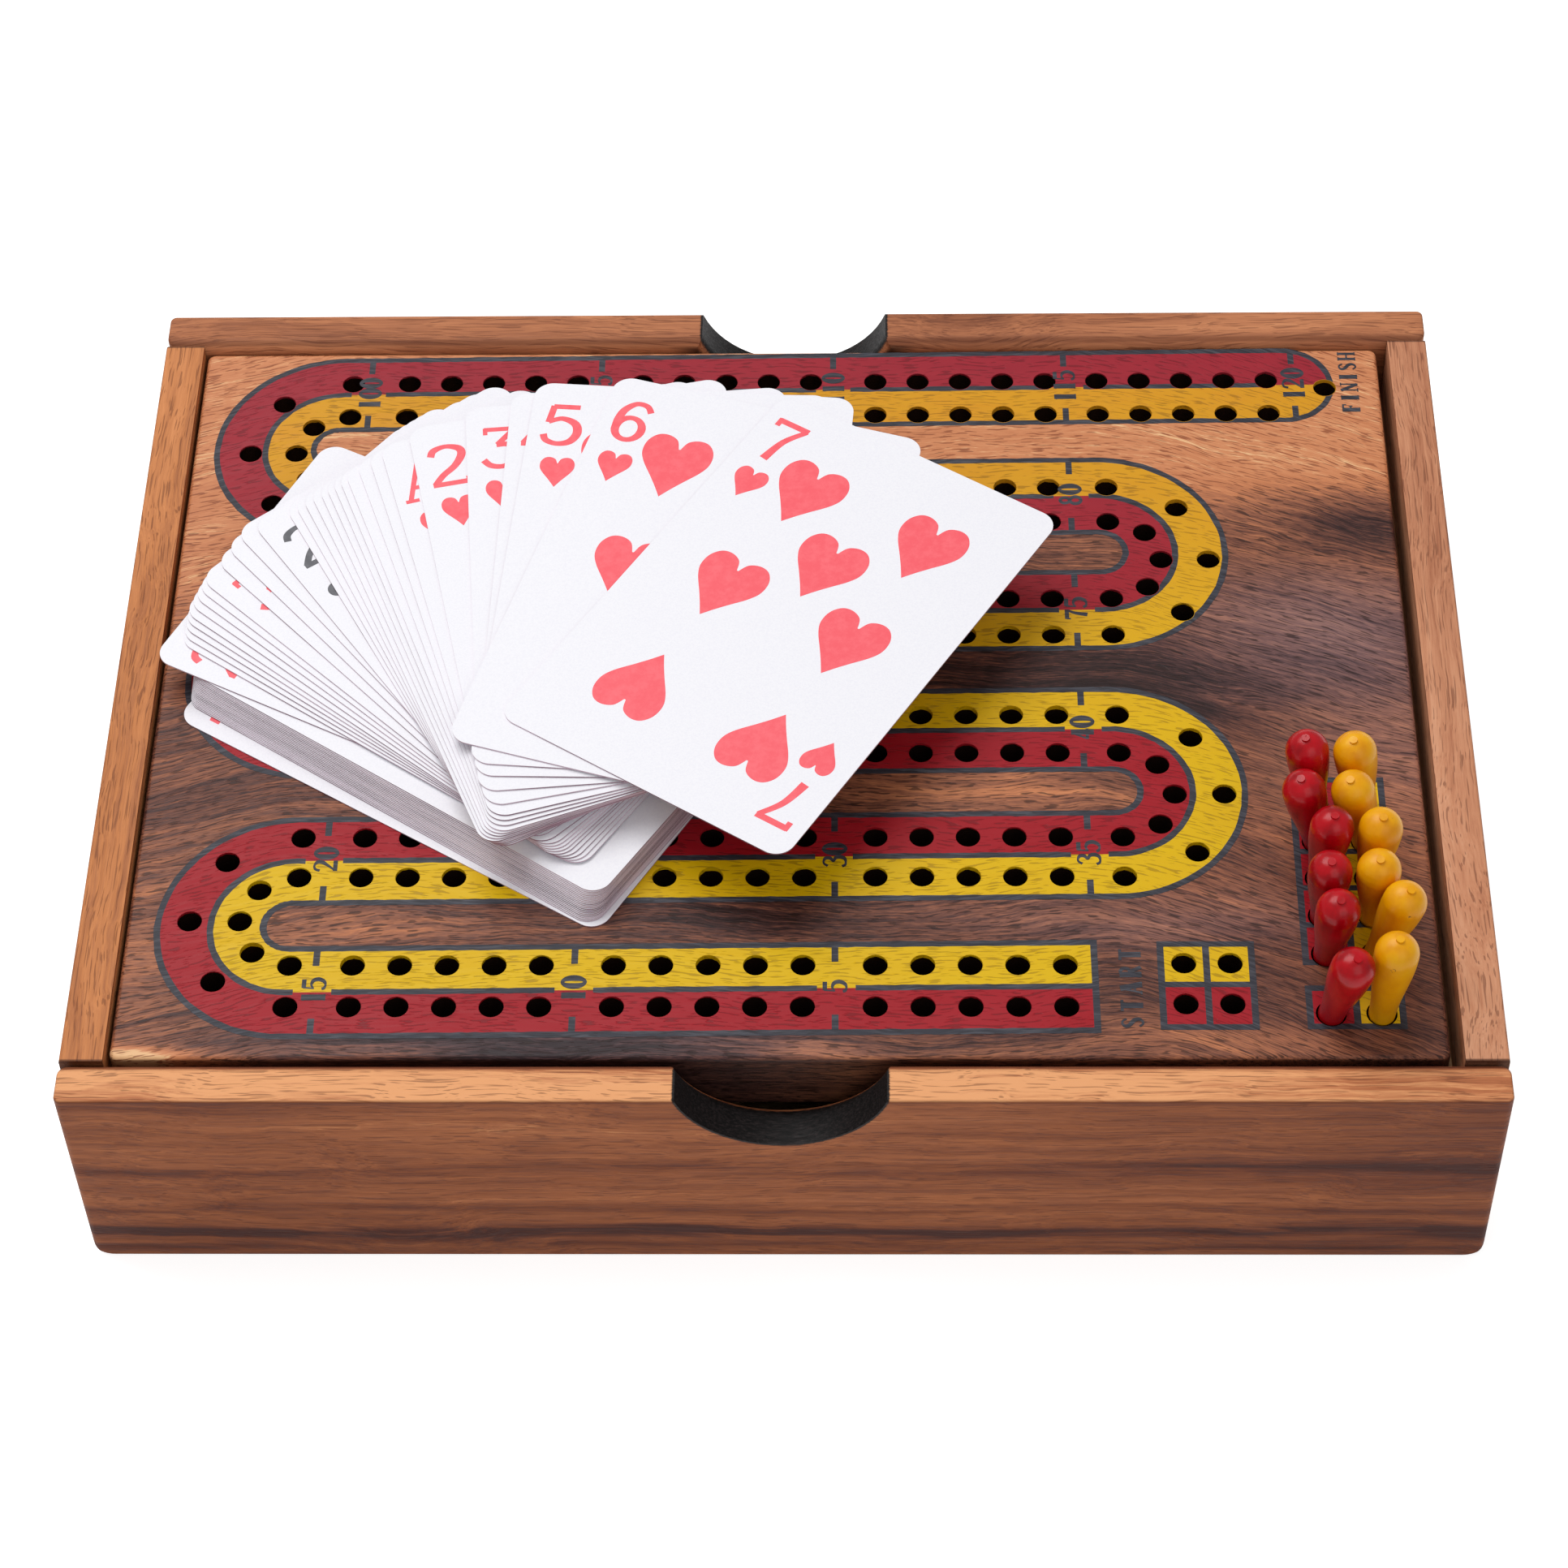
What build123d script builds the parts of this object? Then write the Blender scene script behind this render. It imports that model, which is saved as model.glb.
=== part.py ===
from build123d import *

import os
from math import acos, asin, cos, degrees, hypot, radians, sin

# Wooden cribbage box. Its playing board lies in the rim of the box and lifts out by two
# finger notches. The board carries the pegs and a fanned deck of cards.
# Millimetres. X is the long side, Y the depth, Z up. The origin is the middle of the
# underside. The front wall faces -Y.

# Walls: the side walls, and the thicker front and back walls
WALL = 7.3
LONG_WALL = 8.1
CORNER_ROUND = 1.2
TOP_ROUND = 0.5
FOOT_ROUND = 3.5

# Finger notches in the front and back walls
NOTCH_RADIUS = 18.4
NOTCH_DEPTH = 12.7
NOTCH_INNER_ROUND = 2.6

# Bottom panel, held in a groove in the four walls
PANEL_THICK = 3.5
PANEL_HEIGHT = 2.5
GROOVE_DEPTH = 3.0
PANEL_PLAY = 0.15

# Blind dowels across the corner joints
DOWEL_RADIUS = 2.0
DOWEL_IN_LONG_WALL = 4.5
DOWEL_IN_SIDE_WALL = 11.0
DOWEL_FIT = 0.05
DOWEL_END_GAP = 0.3
DOWEL_HEIGHTS = (13.0, 26.0)

# Playing board, with its gaps to the inside of the walls
BOARD_THICK = 12.6
BOARD_BELOW_RIM = 1.8
GAP_LEFT = 0.5
GAP_RIGHT = 2.0
GAP_FRONT = 1.6
GAP_BACK = 0.3
BOARD_CORNER = 1.5
BOARD_EDGE = 0.9

# Store under the board, with the ledges and dividers that carry the board
STORE_HEIGHT = 26.6
LEDGE_WIDTH = 6.0
DIVIDER_THICK = 5.0
CARD_PLAY = 4.75

# Peg holes, blind: those of the track, and the wider ones that count the games
HOLE_RADIUS = 2.2
SCORE_HOLE_RADIUS = 2.6
HOLE_DEPTH = 5.8

# Track: six runs of two lanes with the holes in fives, joined by half turns
RUNS = 6
RUN_PITCH = 27.3
LANE_OFFSET = 4.3
HOLE_PITCH = 8.0
MARK_GAP = 12.2
GROUP_HOLES = 5
RUN_GROUPS = 3
TURN_GAP = 10.7
LAST_GROUP_GAP = 9.8
FINISH_GAP = 10.9
FINISH_RISE = 2.2

# Margins from the edge of the board to the middle of the nearest track hole
MARGIN_LEFT = 10.7
MARGIN_RIGHT = 10.45
MARGIN_FRONT = 10.6
MARGIN_BACK = 8.2

# Four holes for the pegs that wait at the start
START_GAP = 23.8
START_RISE = 0.4
START_PITCH_X = 7.8
START_PITCH_Y = 8.4

# Two columns of holes that count the games won, one row apart from the others
SCORE_FROM_RIGHT = 10.8
SCORE_COLUMN_PITCH = 8.4
SCORE_FROM_FRONT = 9.1
SCORE_LAST_GAP = 12.2
SCORE_ROWS = 5
SCORE_PITCH = 8.0

# Turned pegs
PEG_HEAD_RADIUS = 3.7
PEG_HEAD_HEIGHT = 17.6
PEG_TOP = 21.4
PEG_WAIST_RADIUS = 2.25
PEG_FLOOR_GAP = 0.8
PEG_TIP_RADIUS = 1.0
PEG_NUB_RADIUS = 0.7
PEG_NUB = 0.35

# How far each peg leans, in degrees: towards +X and towards +Y, from the back row on
RED_LEANS = ((-8.5, -6.0), (-12.0, -7.5), (1.5, -8.0), (-1.5, -12.0), (1.0, -12.0), (6.0, -11.0))
YELLOW_LEANS = ((-9.5, -7.0), (-12.5, -8.0), (0.5, -9.0), (-2.5, -11.0), (9.5, -6.5), (2.5, -1.5))

# Playing cards
CARD_LENGTH = 90.5
CARD_WIDTH = 59.0
CARD_CORNER = 3.5
CARD_THICK = 0.27
CARD_PITCH = 0.30
# The lie of the deck: card number from the bottom, turn of the card's long side in
# degrees, and its lower left corner. The cards between two of these are spaced evenly.
DECK_LIE = (
    (0, 148.3, -31.6, -55.4),
    (1, 146.2, -32.5, -54.5),
    (19, 146.2, -31.4, -52.1),
    (20, 152.8, -32.5, -40.4),
    (21, 145.4, -34.6, -46.5),
    (25, 141.2, -38.1, -45.7),
    (29, 136.8, -40.1, -44.4),
    (30, 133.5, -41.4, -44.0),
    (32, 129.1, -43.5, -42.2),
    (33, 125.4, -45.2, -43.9),
    (34, 118.6, -48.7, -45.7),
    (38, 113.1, -50.7, -45.6),
    (42, 110.8, -49.3, -44.2),
    (45, 106.4, -49.6, -41.4),
    (46, 102.6, -50.5, -39.1),
    (47, 95.0, -52.0, -36.0),
    (48, 89.0, -53.0, -32.7),
    (49, 85.6, -53.9, -30.1),
    (50, 73.1, -58.1, -25.0),
    (51, 57.5, -49.7, -20.0),
)
STACK_CARDS = 20
LOWER_FAN_CARDS = 15
UPPER_FAN_CARDS = 10
HEARTS = ("ace", "two", "three", "four", "five", "six", "seven")

# Board and box, worked out from the layout of the track
GROUP_LENGTH = (GROUP_HOLES - 1) * HOLE_PITCH
GROUP_PITCH = GROUP_LENGTH + MARK_GAP
RUN_LENGTH = (RUN_GROUPS - 1) * GROUP_PITCH + GROUP_LENGTH
TURN_REACH = RUN_PITCH / 2 + LANE_OFFSET
LEFT_REACH = MARGIN_LEFT + TURN_REACH + TURN_GAP
RIGHT_REACH = LAST_GROUP_GAP + GROUP_LENGTH + FINISH_GAP + MARGIN_RIGHT
BOARD_LENGTH = LEFT_REACH + RUN_LENGTH + RIGHT_REACH
BOARD_DEPTH = MARGIN_FRONT + (RUNS - 1) * RUN_PITCH + 2 * LANE_OFFSET + MARGIN_BACK
BOX_LENGTH = BOARD_LENGTH + GAP_LEFT + GAP_RIGHT + 2 * WALL
BOX_DEPTH = BOARD_DEPTH + GAP_FRONT + GAP_BACK + 2 * LONG_WALL
PANEL_TOP = PANEL_HEIGHT + PANEL_THICK
BOARD_UNDER = PANEL_TOP + STORE_HEIGHT
BOARD_TOP = BOARD_UNDER + BOARD_THICK
BOX_HEIGHT = BOARD_TOP + BOARD_BELOW_RIM

# Places worked out from them
INSIDE_X = BOX_LENGTH / 2 - WALL
INSIDE_Y = BOX_DEPTH / 2 - LONG_WALL
BOARD_LEFT = -INSIDE_X + GAP_LEFT
BOARD_RIGHT = INSIDE_X - GAP_RIGHT
BOARD_FRONT = -INSIDE_Y + GAP_FRONT
BOARD_BACK = INSIDE_Y - GAP_BACK
FIRST_RUN_Y = BOARD_FRONT + MARGIN_FRONT + LANE_OFFSET
FIRST_HOLE_X = BOARD_LEFT + LEFT_REACH + RUN_LENGTH
LEFT_TURN_X = FIRST_HOLE_X - RUN_LENGTH - TURN_GAP
RIGHT_TURN_X = FIRST_HOLE_X + TURN_GAP
LAST_GROUP_X = FIRST_HOLE_X + LAST_GROUP_GAP
FINISH_X = LAST_GROUP_X + GROUP_LENGTH + FINISH_GAP
START_X = FIRST_HOLE_X + START_GAP
SCORE_YELLOW_X = BOARD_RIGHT - SCORE_FROM_RIGHT
SCORE_RED_X = SCORE_YELLOW_X - SCORE_COLUMN_PITCH
SCORE_LAST_Y = BOARD_FRONT + SCORE_FROM_FRONT
PEG_SUNK = HOLE_DEPTH - PEG_FLOOR_GAP

# Two places nearer than this are the same place
SAME_PLACE = 0.1


def block(x0, x1, y0, y1, z0, z1):
    """A box between two opposite corners."""
    middle = Pos((x0 + x1) / 2, (y0 + y1) / 2, (z0 + z1) / 2)
    return middle * Box(x1 - x0, y1 - y0, z1 - z0)


def groove():
    """The space that the bottom panel takes up in the walls."""
    half_x = INSIDE_X + GROOVE_DEPTH
    half_y = INSIDE_Y + GROOVE_DEPTH
    return block(-half_x, half_x, -half_y, half_y, PANEL_HEIGHT, PANEL_TOP)


def bottom_panel():
    half_x = INSIDE_X + GROOVE_DEPTH - PANEL_PLAY
    half_y = INSIDE_Y + GROOVE_DEPTH - PANEL_PLAY
    return block(-half_x, half_x, -half_y, half_y, PANEL_HEIGHT, PANEL_TOP)


def dowels(radius, end_gap):
    """Two blind dowels across each corner joint, or their holes, lying along Y."""
    length = DOWEL_IN_LONG_WALL + DOWEL_IN_SIDE_WALL - 2 * end_gap
    middle_y = INSIDE_Y + (DOWEL_IN_LONG_WALL - DOWEL_IN_SIDE_WALL) / 2
    middle_x = BOX_LENGTH / 2 - WALL / 2
    lying = Rot(90, 0, 0) * Cylinder(radius, length)
    return [
        Pos(side_x * middle_x, side_y * middle_y, height) * lying
        for side_x in (-1, 1)
        for side_y in (-1, 1)
        for height in DOWEL_HEIGHTS
    ]


def notch(side):
    """The round cut for a fingertip, through the front (-1) or back (1) wall."""
    centre_z = BOX_HEIGHT + NOTCH_RADIUS - NOTCH_DEPTH
    middle_y = side * (BOX_DEPTH - LONG_WALL) / 2
    return Pos(0, middle_y, centre_z) * Rot(90, 0, 0) * Cylinder(NOTCH_RADIUS, 3 * LONG_WALL)


def foot_cuts():
    """What the rounding of the lower left and right edges takes away from the walls."""
    cuts = []
    for side in (-1, 1):
        outer = side * BOX_LENGTH / 2
        centre = outer - side * FOOT_ROUND
        corner = block(min(outer, centre), max(outer, centre), -BOX_DEPTH / 2, BOX_DEPTH / 2, 0, FOOT_ROUND)
        cuts.append(corner - Pos(centre, 0, FOOT_ROUND) * Rot(90, 0, 0) * Cylinder(FOOT_ROUND, BOX_DEPTH))
    return cuts


def long_wall(side):
    """The front (-1) or back (1) wall, over the full length of the box."""
    half = BOX_LENGTH / 2
    outer = side * BOX_DEPTH / 2
    inner = side * INSIDE_Y
    wall = block(-half, half, min(outer, inner), max(outer, inner), 0, BOX_HEIGHT)

    def along(y):
        """Picks the edges that lie on one of the wall's two faces."""
        return lambda edge: abs(edge.center().Y - y) < SAME_PLACE

    def above(edge):
        return edge.center().Z > BOX_HEIGHT / 2

    wall = fillet(wall.edges().filter_by(Axis.Z).filter_by(along(outer)), CORNER_ROUND)
    wall = fillet(wall.edges().filter_by(Axis.X).filter_by(along(outer)).filter_by(above), TOP_ROUND)
    wall -= foot_cuts()
    wall -= notch(side)
    wall = fillet(wall.edges().filter_by(GeomType.CIRCLE).filter_by(along(inner)), NOTCH_INNER_ROUND)
    wall -= groove()
    return wall - dowels(DOWEL_RADIUS, 0.0)


def side_wall(side):
    """The left (-1) or right (1) wall, between the long walls."""
    outer = side * BOX_LENGTH / 2
    inner = side * INSIDE_X
    wall = block(min(outer, inner), max(outer, inner), -INSIDE_Y, INSIDE_Y, 0, BOX_HEIGHT)
    top = wall.edges().filter_by(Axis.Y).filter_by(
        lambda e: abs(e.center().X - outer) < SAME_PLACE and e.center().Z > BOX_HEIGHT / 2
    )
    wall = fillet(top, TOP_ROUND)
    wall -= foot_cuts()
    wall -= groove()
    return wall - dowels(DOWEL_RADIUS, 0.0)


def ledge(side):
    """A strip glued inside the left (-1) or right (1) wall, from the panel to the board."""
    wall_x = side * INSIDE_X
    free_x = wall_x - side * LEDGE_WIDTH
    return block(min(wall_x, free_x), max(wall_x, free_x), -INSIDE_Y, INSIDE_Y, PANEL_TOP, BOARD_UNDER)


def divider(side):
    """A partition from the front wall to the back wall, beside the card well."""
    near = side * (CARD_LENGTH / 2 + CARD_PLAY)
    far = near + side * DIVIDER_THICK
    return block(min(near, far), max(near, far), -INSIDE_Y, INSIDE_Y, PANEL_TOP, BOARD_UNDER)


def run_y(run):
    return FIRST_RUN_Y + run * RUN_PITCH


def run_columns(run):
    """The places along X of the holes in one run. The last run has one group more."""
    columns = [
        FIRST_HOLE_X - group * GROUP_PITCH - hole * HOLE_PITCH
        for group in range(RUN_GROUPS)
        for hole in range(GROUP_HOLES)
    ]
    if run == RUNS - 1:
        columns += [LAST_GROUP_X + hole * HOLE_PITCH for hole in range(GROUP_HOLES)]
    return columns


def track_holes():
    """The two lanes of the track, from the start along each run and round each turn."""
    places = []
    for run in range(RUNS):
        for x in run_columns(run):
            for lane in (-1, 1):
                places.append((x, run_y(run) + lane * LANE_OFFSET))
    for run in range(RUNS - 1):
        left = run % 2 == 0
        centre_x = LEFT_TURN_X if left else RIGHT_TURN_X
        centre_y = run_y(run) + RUN_PITCH / 2
        outward = -1 if left else 1
        for radius in (RUN_PITCH / 2 - LANE_OFFSET, RUN_PITCH / 2 + LANE_OFFSET):
            for step in range(GROUP_HOLES):
                turn = radians(-90 + step * 180 / (GROUP_HOLES - 1))
                places.append((centre_x + outward * radius * cos(turn), centre_y + radius * sin(turn)))
    return places


def start_holes():
    """Four holes where the pegs wait at the start."""
    middle_y = FIRST_RUN_Y + START_RISE
    return [
        (START_X + column * START_PITCH_X / 2, middle_y + row * START_PITCH_Y / 2)
        for column in (-1, 1)
        for row in (-1, 1)
    ]


def score_rows():
    """The rows of score holes along Y, from the back one to the front one."""
    lowest = SCORE_LAST_Y + SCORE_LAST_GAP
    return [lowest + row * SCORE_PITCH for row in reversed(range(SCORE_ROWS))] + [SCORE_LAST_Y]


def drilled(radius, places):
    """Blind holes of one radius. Each drill stands proud of the board by its radius."""
    drill = Cylinder(radius, HOLE_DEPTH + radius)
    middle_z = BOARD_TOP + (radius - HOLE_DEPTH) / 2
    return [Pos(x, y, middle_z) * drill for x, y in places]


def cribbage_board():
    """The playing board: a plank with softened edges and blind peg holes."""
    board = block(BOARD_LEFT, BOARD_RIGHT, BOARD_FRONT, BOARD_BACK, BOARD_UNDER, BOARD_TOP)
    board = fillet(board.edges().filter_by(Axis.Z), BOARD_CORNER)
    board = fillet(board.faces().sort_by(Axis.Z)[-1].edges(), BOARD_EDGE)
    finish = (FINISH_X, run_y(RUNS - 1) + FINISH_RISE)
    score = [(x, y) for x in (SCORE_RED_X, SCORE_YELLOW_X) for y in score_rows()]
    board -= drilled(HOLE_RADIUS, track_holes() + start_holes() + [finish])
    return board - drilled(SCORE_HOLE_RADIUS, score)


def peg_shape():
    """A turned peg that stands upright with the board's surface at height 0."""
    dome_height = PEG_TOP - PEG_HEAD_HEIGHT
    nub_angle = degrees(acos(PEG_NUB_RADIUS / PEG_HEAD_RADIUS))

    def on_dome(angle):
        """A point of the round top, a number of degrees up from its rim."""
        height = PEG_HEAD_HEIGHT + dome_height * sin(radians(angle))
        return (PEG_HEAD_RADIUS * cos(radians(angle)), height)

    with BuildPart() as peg:
        with BuildSketch(Plane.XZ):
            with BuildLine():
                tip = Line((0, -PEG_SUNK), (PEG_TIP_RADIUS, -PEG_SUNK))
                stem = Line(tip @ 1, (PEG_WAIST_RADIUS, 0))
                bulb = Spline(stem @ 1, (PEG_HEAD_RADIUS, PEG_HEAD_HEIGHT), tangents=((0, 1), (0, 1)))
                dome = ThreePointArc(bulb @ 1, on_dome(nub_angle / 2), on_dome(nub_angle))
                nub = Line(dome @ 1, (PEG_NUB_RADIUS, PEG_TOP + PEG_NUB))
                cap = Line(nub @ 1, (0, PEG_TOP + PEG_NUB))
                Line(cap @ 1, tip @ 0)
            make_face()
        revolve(axis=Axis.Z)
    return peg.part


def leaning(shape, lean_x, lean_y):
    """A shape turned about the origin so that it leans towards +X and +Y."""
    x, y = sin(radians(lean_x)), sin(radians(lean_y))
    return shape.rotate(Axis((0, 0, 0), (-y, x, 0)), degrees(asin(hypot(x, y))))


def pegs():
    """The twelve pegs in their score holes, by name."""
    shape = peg_shape()
    columns = (("red", SCORE_RED_X, RED_LEANS), ("yellow", SCORE_YELLOW_X, YELLOW_LEANS))
    named = {}
    for colour, x, leans in columns:
        for number, (y, angles) in enumerate(zip(score_rows(), leans), start=1):
            named[f"{colour}_peg_{number}"] = Pos(x, y, BOARD_TOP) * leaning(shape, *angles)
    return named


def card_lie(number):
    """The turn and lower left corner of one card, spaced between the two nearest given."""
    for low, high in zip(DECK_LIE, DECK_LIE[1:]):
        if low[0] <= number <= high[0]:
            share = (number - low[0]) / (high[0] - low[0])
            return [a + share * (b - a) for a, b in zip(low[1:], high[1:])]
    raise ValueError(f"card {number} is not in the deck")


def card(number):
    """One card, lying flat at its height in the deck."""
    turn, corner_x, corner_y = card_lie(number)
    flat = Pos(CARD_LENGTH / 2, -CARD_WIDTH / 2) * RectangleRounded(CARD_LENGTH, CARD_WIDTH, CARD_CORNER)
    place = Pos(corner_x, corner_y, BOARD_TOP + number * CARD_PITCH) * Rot(0, 0, turn)
    return place * extrude(flat, CARD_THICK)


def cards():
    """The deck by name: a squared stack, a fan in two groups, and the hearts on top."""
    fan_start = STACK_CARDS + LOWER_FAN_CARDS
    hearts_start = fan_start + UPPER_FAN_CARDS
    named = {
        "card_stack": Compound(children=[card(n) for n in range(STACK_CARDS)]),
        "lower_fan": Compound(children=[card(n) for n in range(STACK_CARDS, fan_start)]),
        "upper_fan": Compound(children=[card(n) for n in range(fan_start, hearts_start)]),
    }
    for place, value in enumerate(HEARTS):
        named[f"{value}_of_hearts"] = card(hearts_start + place)
    return named


def parts():
    """Every piece of the object by name."""
    named = {
        "front_wall": long_wall(-1),
        "back_wall": long_wall(1),
        "left_wall": side_wall(-1),
        "right_wall": side_wall(1),
        "bottom_panel": bottom_panel(),
        "left_ledge": ledge(-1),
        "right_ledge": ledge(1),
        "left_divider": divider(-1),
        "right_divider": divider(1),
        "corner_dowels": Compound(children=dowels(DOWEL_RADIUS - DOWEL_FIT, DOWEL_END_GAP)),
        "cribbage_board": cribbage_board(),
    }
    named.update(pegs())
    named.update(cards())
    return named


os.makedirs("parts", exist_ok=True)
for name, shape in parts().items():
    export_step(shape, f"parts/{name}.step")
print(f"box {BOX_LENGTH:.1f} x {BOX_DEPTH:.1f} x {BOX_HEIGHT:.1f} mm")
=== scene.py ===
import random
from math import ceil, cos, hypot, pi, radians, sin

import bpy
from mathutils import Matrix, Vector
from mathutils.geometry import delaunay_2d_cdt

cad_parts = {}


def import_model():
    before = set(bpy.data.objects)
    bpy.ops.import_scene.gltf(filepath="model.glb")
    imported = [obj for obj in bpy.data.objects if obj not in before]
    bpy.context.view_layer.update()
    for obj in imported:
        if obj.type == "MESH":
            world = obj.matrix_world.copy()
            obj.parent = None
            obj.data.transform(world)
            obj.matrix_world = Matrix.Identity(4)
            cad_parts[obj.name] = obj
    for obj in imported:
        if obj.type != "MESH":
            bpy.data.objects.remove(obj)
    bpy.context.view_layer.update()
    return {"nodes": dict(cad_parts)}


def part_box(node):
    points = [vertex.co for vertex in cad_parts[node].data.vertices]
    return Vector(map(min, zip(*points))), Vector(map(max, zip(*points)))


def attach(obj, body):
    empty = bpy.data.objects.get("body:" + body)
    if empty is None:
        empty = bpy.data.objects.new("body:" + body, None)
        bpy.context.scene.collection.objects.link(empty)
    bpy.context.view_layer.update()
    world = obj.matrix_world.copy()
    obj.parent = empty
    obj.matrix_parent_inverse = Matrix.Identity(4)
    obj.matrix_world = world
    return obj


# Looks of a wooden cribbage box: oiled wood, painted lanes with numbers, turned and painted
# pegs, and the prints on a fanned deck of cards. Sizes and places are in millimetres, in the
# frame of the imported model, and become metres where a mesh is made.

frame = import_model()
nodes = frame["nodes"]
MM = 0.001
dice = random.Random(7)


def span(node):
    """The lowest and highest corner of a node in millimetres."""
    low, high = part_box(node)
    return low / MM, high / MM


BOARD_LOW, BOARD_HIGH = span("cribbage_board")
BOARD_TOP = BOARD_HIGH.z
RIM_TOP = span("front_wall")[1].z
SIDE_WALL_END = span("left_wall")[1].y
NOTCH_RADIUS = 18.4
NOTCH_CENTRE = RIM_TOP + 5.7

# Camera, as seen in the photograph of 1932 x 1932 pixels
PHOTO_WIDTH = 1932
FOCAL_PIXELS = 5014.55
CAMERA_PLACE = (17.55, -466.22, 600.74)
CAMERA_DOWN = 51.394
CAMERA_YAW = -2.318
CAMERA_ROLL = -1.936
SENSOR = 36.0

# Peg holes in the board
HOLE_RADIUS = 2.2
SCORE_HOLE_RADIUS = 2.6
RUNS = 6
RUN_PITCH = 27.3
FIRST_RUN_Y = -66.4
LANE_OFFSET = 4.3
HOLE_PITCH = 8.0
GROUP_PITCH = 44.2
GROUP_HOLES = 5
RUN_GROUPS = 3
FIRST_HOLE_X = 47.55
LEFT_TURN_X = -83.55
RIGHT_TURN_X = 58.25
LAST_GROUP_X = 57.35
FINISH_HOLE = (100.25, 72.3)
START_HOLES_X = (67.45, 75.25)
START_HOLES_Y = (-70.2, -61.8)
SCORE_HOLES_X = (91.5, 99.9)
SCORE_HOLES_Y = (-28.0, -36.0, -44.0, -52.0, -60.0, -72.2)

# Printed track. It was printed apart from the drilling, so it has its own pitch and a slight turn
PRINT_PIVOT = (52.5, -66.5)
PRINT_TURN = 0.5
PRINT_PITCH = 27.85
PRINT_LANE = 9.05
LINE_WIDTH = 1.15
PRINT_LEFT_X = -83.8
PRINT_RIGHT_X = 57.2
PRINT_END_X = 93.6
MARKS_X = (52.5, 8.8, -35.2, -79.0)
LAST_MARK_X = 95.6
TICK_LENGTH = 3.4
PATH_STEP = 1.3
TURN_STEPS = 40
NUMBER_GAP = 6.8
NUMBER_HEIGHT = 4.2
NUMBER_PITCH = 2.75
# Words as text, x, y, height, pitch and turn in degrees
FINISH_WORD = ("FINISH", 104.9, 73.8, 3.4, 2.7, 90)
START_WORD = ("START", 58.4, -67.0, 3.8, 3.5, 90)
# Thickness of the paint, of the digits that lie over it, and of the ink on a card
PRINT_HEIGHT = 0.03
DIGIT_HEIGHT = 0.045
CARD_INK_HEIGHT = 0.015

# Cards
CARD_LENGTH = 90.5
CARD_WIDTH = 59.0
CARD_THICK = 0.27
CARD_PITCH = 0.30
# Card number from the bottom, turn of its long side in degrees, and its lower left corner
DECK_LIE = (
    (0, 148.3, -31.6, -55.4),
    (1, 146.2, -32.5, -54.5),
    (19, 146.2, -31.4, -52.1),
    (20, 152.8, -32.5, -40.4),
    (21, 145.4, -34.6, -46.5),
    (25, 141.2, -38.1, -45.7),
    (29, 136.8, -40.1, -44.4),
    (30, 133.5, -41.4, -44.0),
    (32, 129.1, -43.5, -42.2),
    (33, 125.4, -45.2, -43.9),
    (34, 118.6, -48.7, -45.7),
    (38, 113.1, -50.7, -45.6),
    (42, 110.8, -49.3, -44.2),
    (45, 106.4, -49.6, -41.4),
    (46, 102.6, -50.5, -39.1),
    (47, 95.0, -52.0, -36.0),
    (48, 89.0, -53.0, -32.7),
    (49, 85.6, -53.9, -30.1),
    (50, 73.1, -58.1, -25.0),
    (51, 57.5, -49.7, -20.0),
)


# ---------------------------------------------------------------- materials


def colour(red, green, blue):
    """A screen colour from 0 to 255 as the linear colour that shaders use."""
    values = [channel / 255 for channel in (red, green, blue)]
    linear = [v / 12.92 if v <= 0.04045 else ((v + 0.055) / 1.055) ** 2.4 for v in values]
    return (*linear, 1.0)


class Nodes:
    """A node tree that is put together with short calls."""

    def __init__(self, owner):
        owner.use_nodes = True
        self.tree = owner.node_tree
        self.tree.nodes.clear()

    def add(self, kind, **settings):
        node = self.tree.nodes.new(kind)
        for key, value in settings.items():
            setattr(node, key, value)
        return node

    def feed(self, socket, value):
        """Links a socket to another, or sets it to a constant. A colour has three screen values."""
        if isinstance(value, bpy.types.NodeSocket):
            self.tree.links.new(value, socket)
        else:
            socket.default_value = colour(*value) if socket.type == "RGBA" else value

    def math(self, operation, *values):
        node = self.add("ShaderNodeMath", operation=operation)
        for socket, value in zip(node.inputs, values):
            self.feed(socket, value)
        return node.outputs[0]


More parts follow.
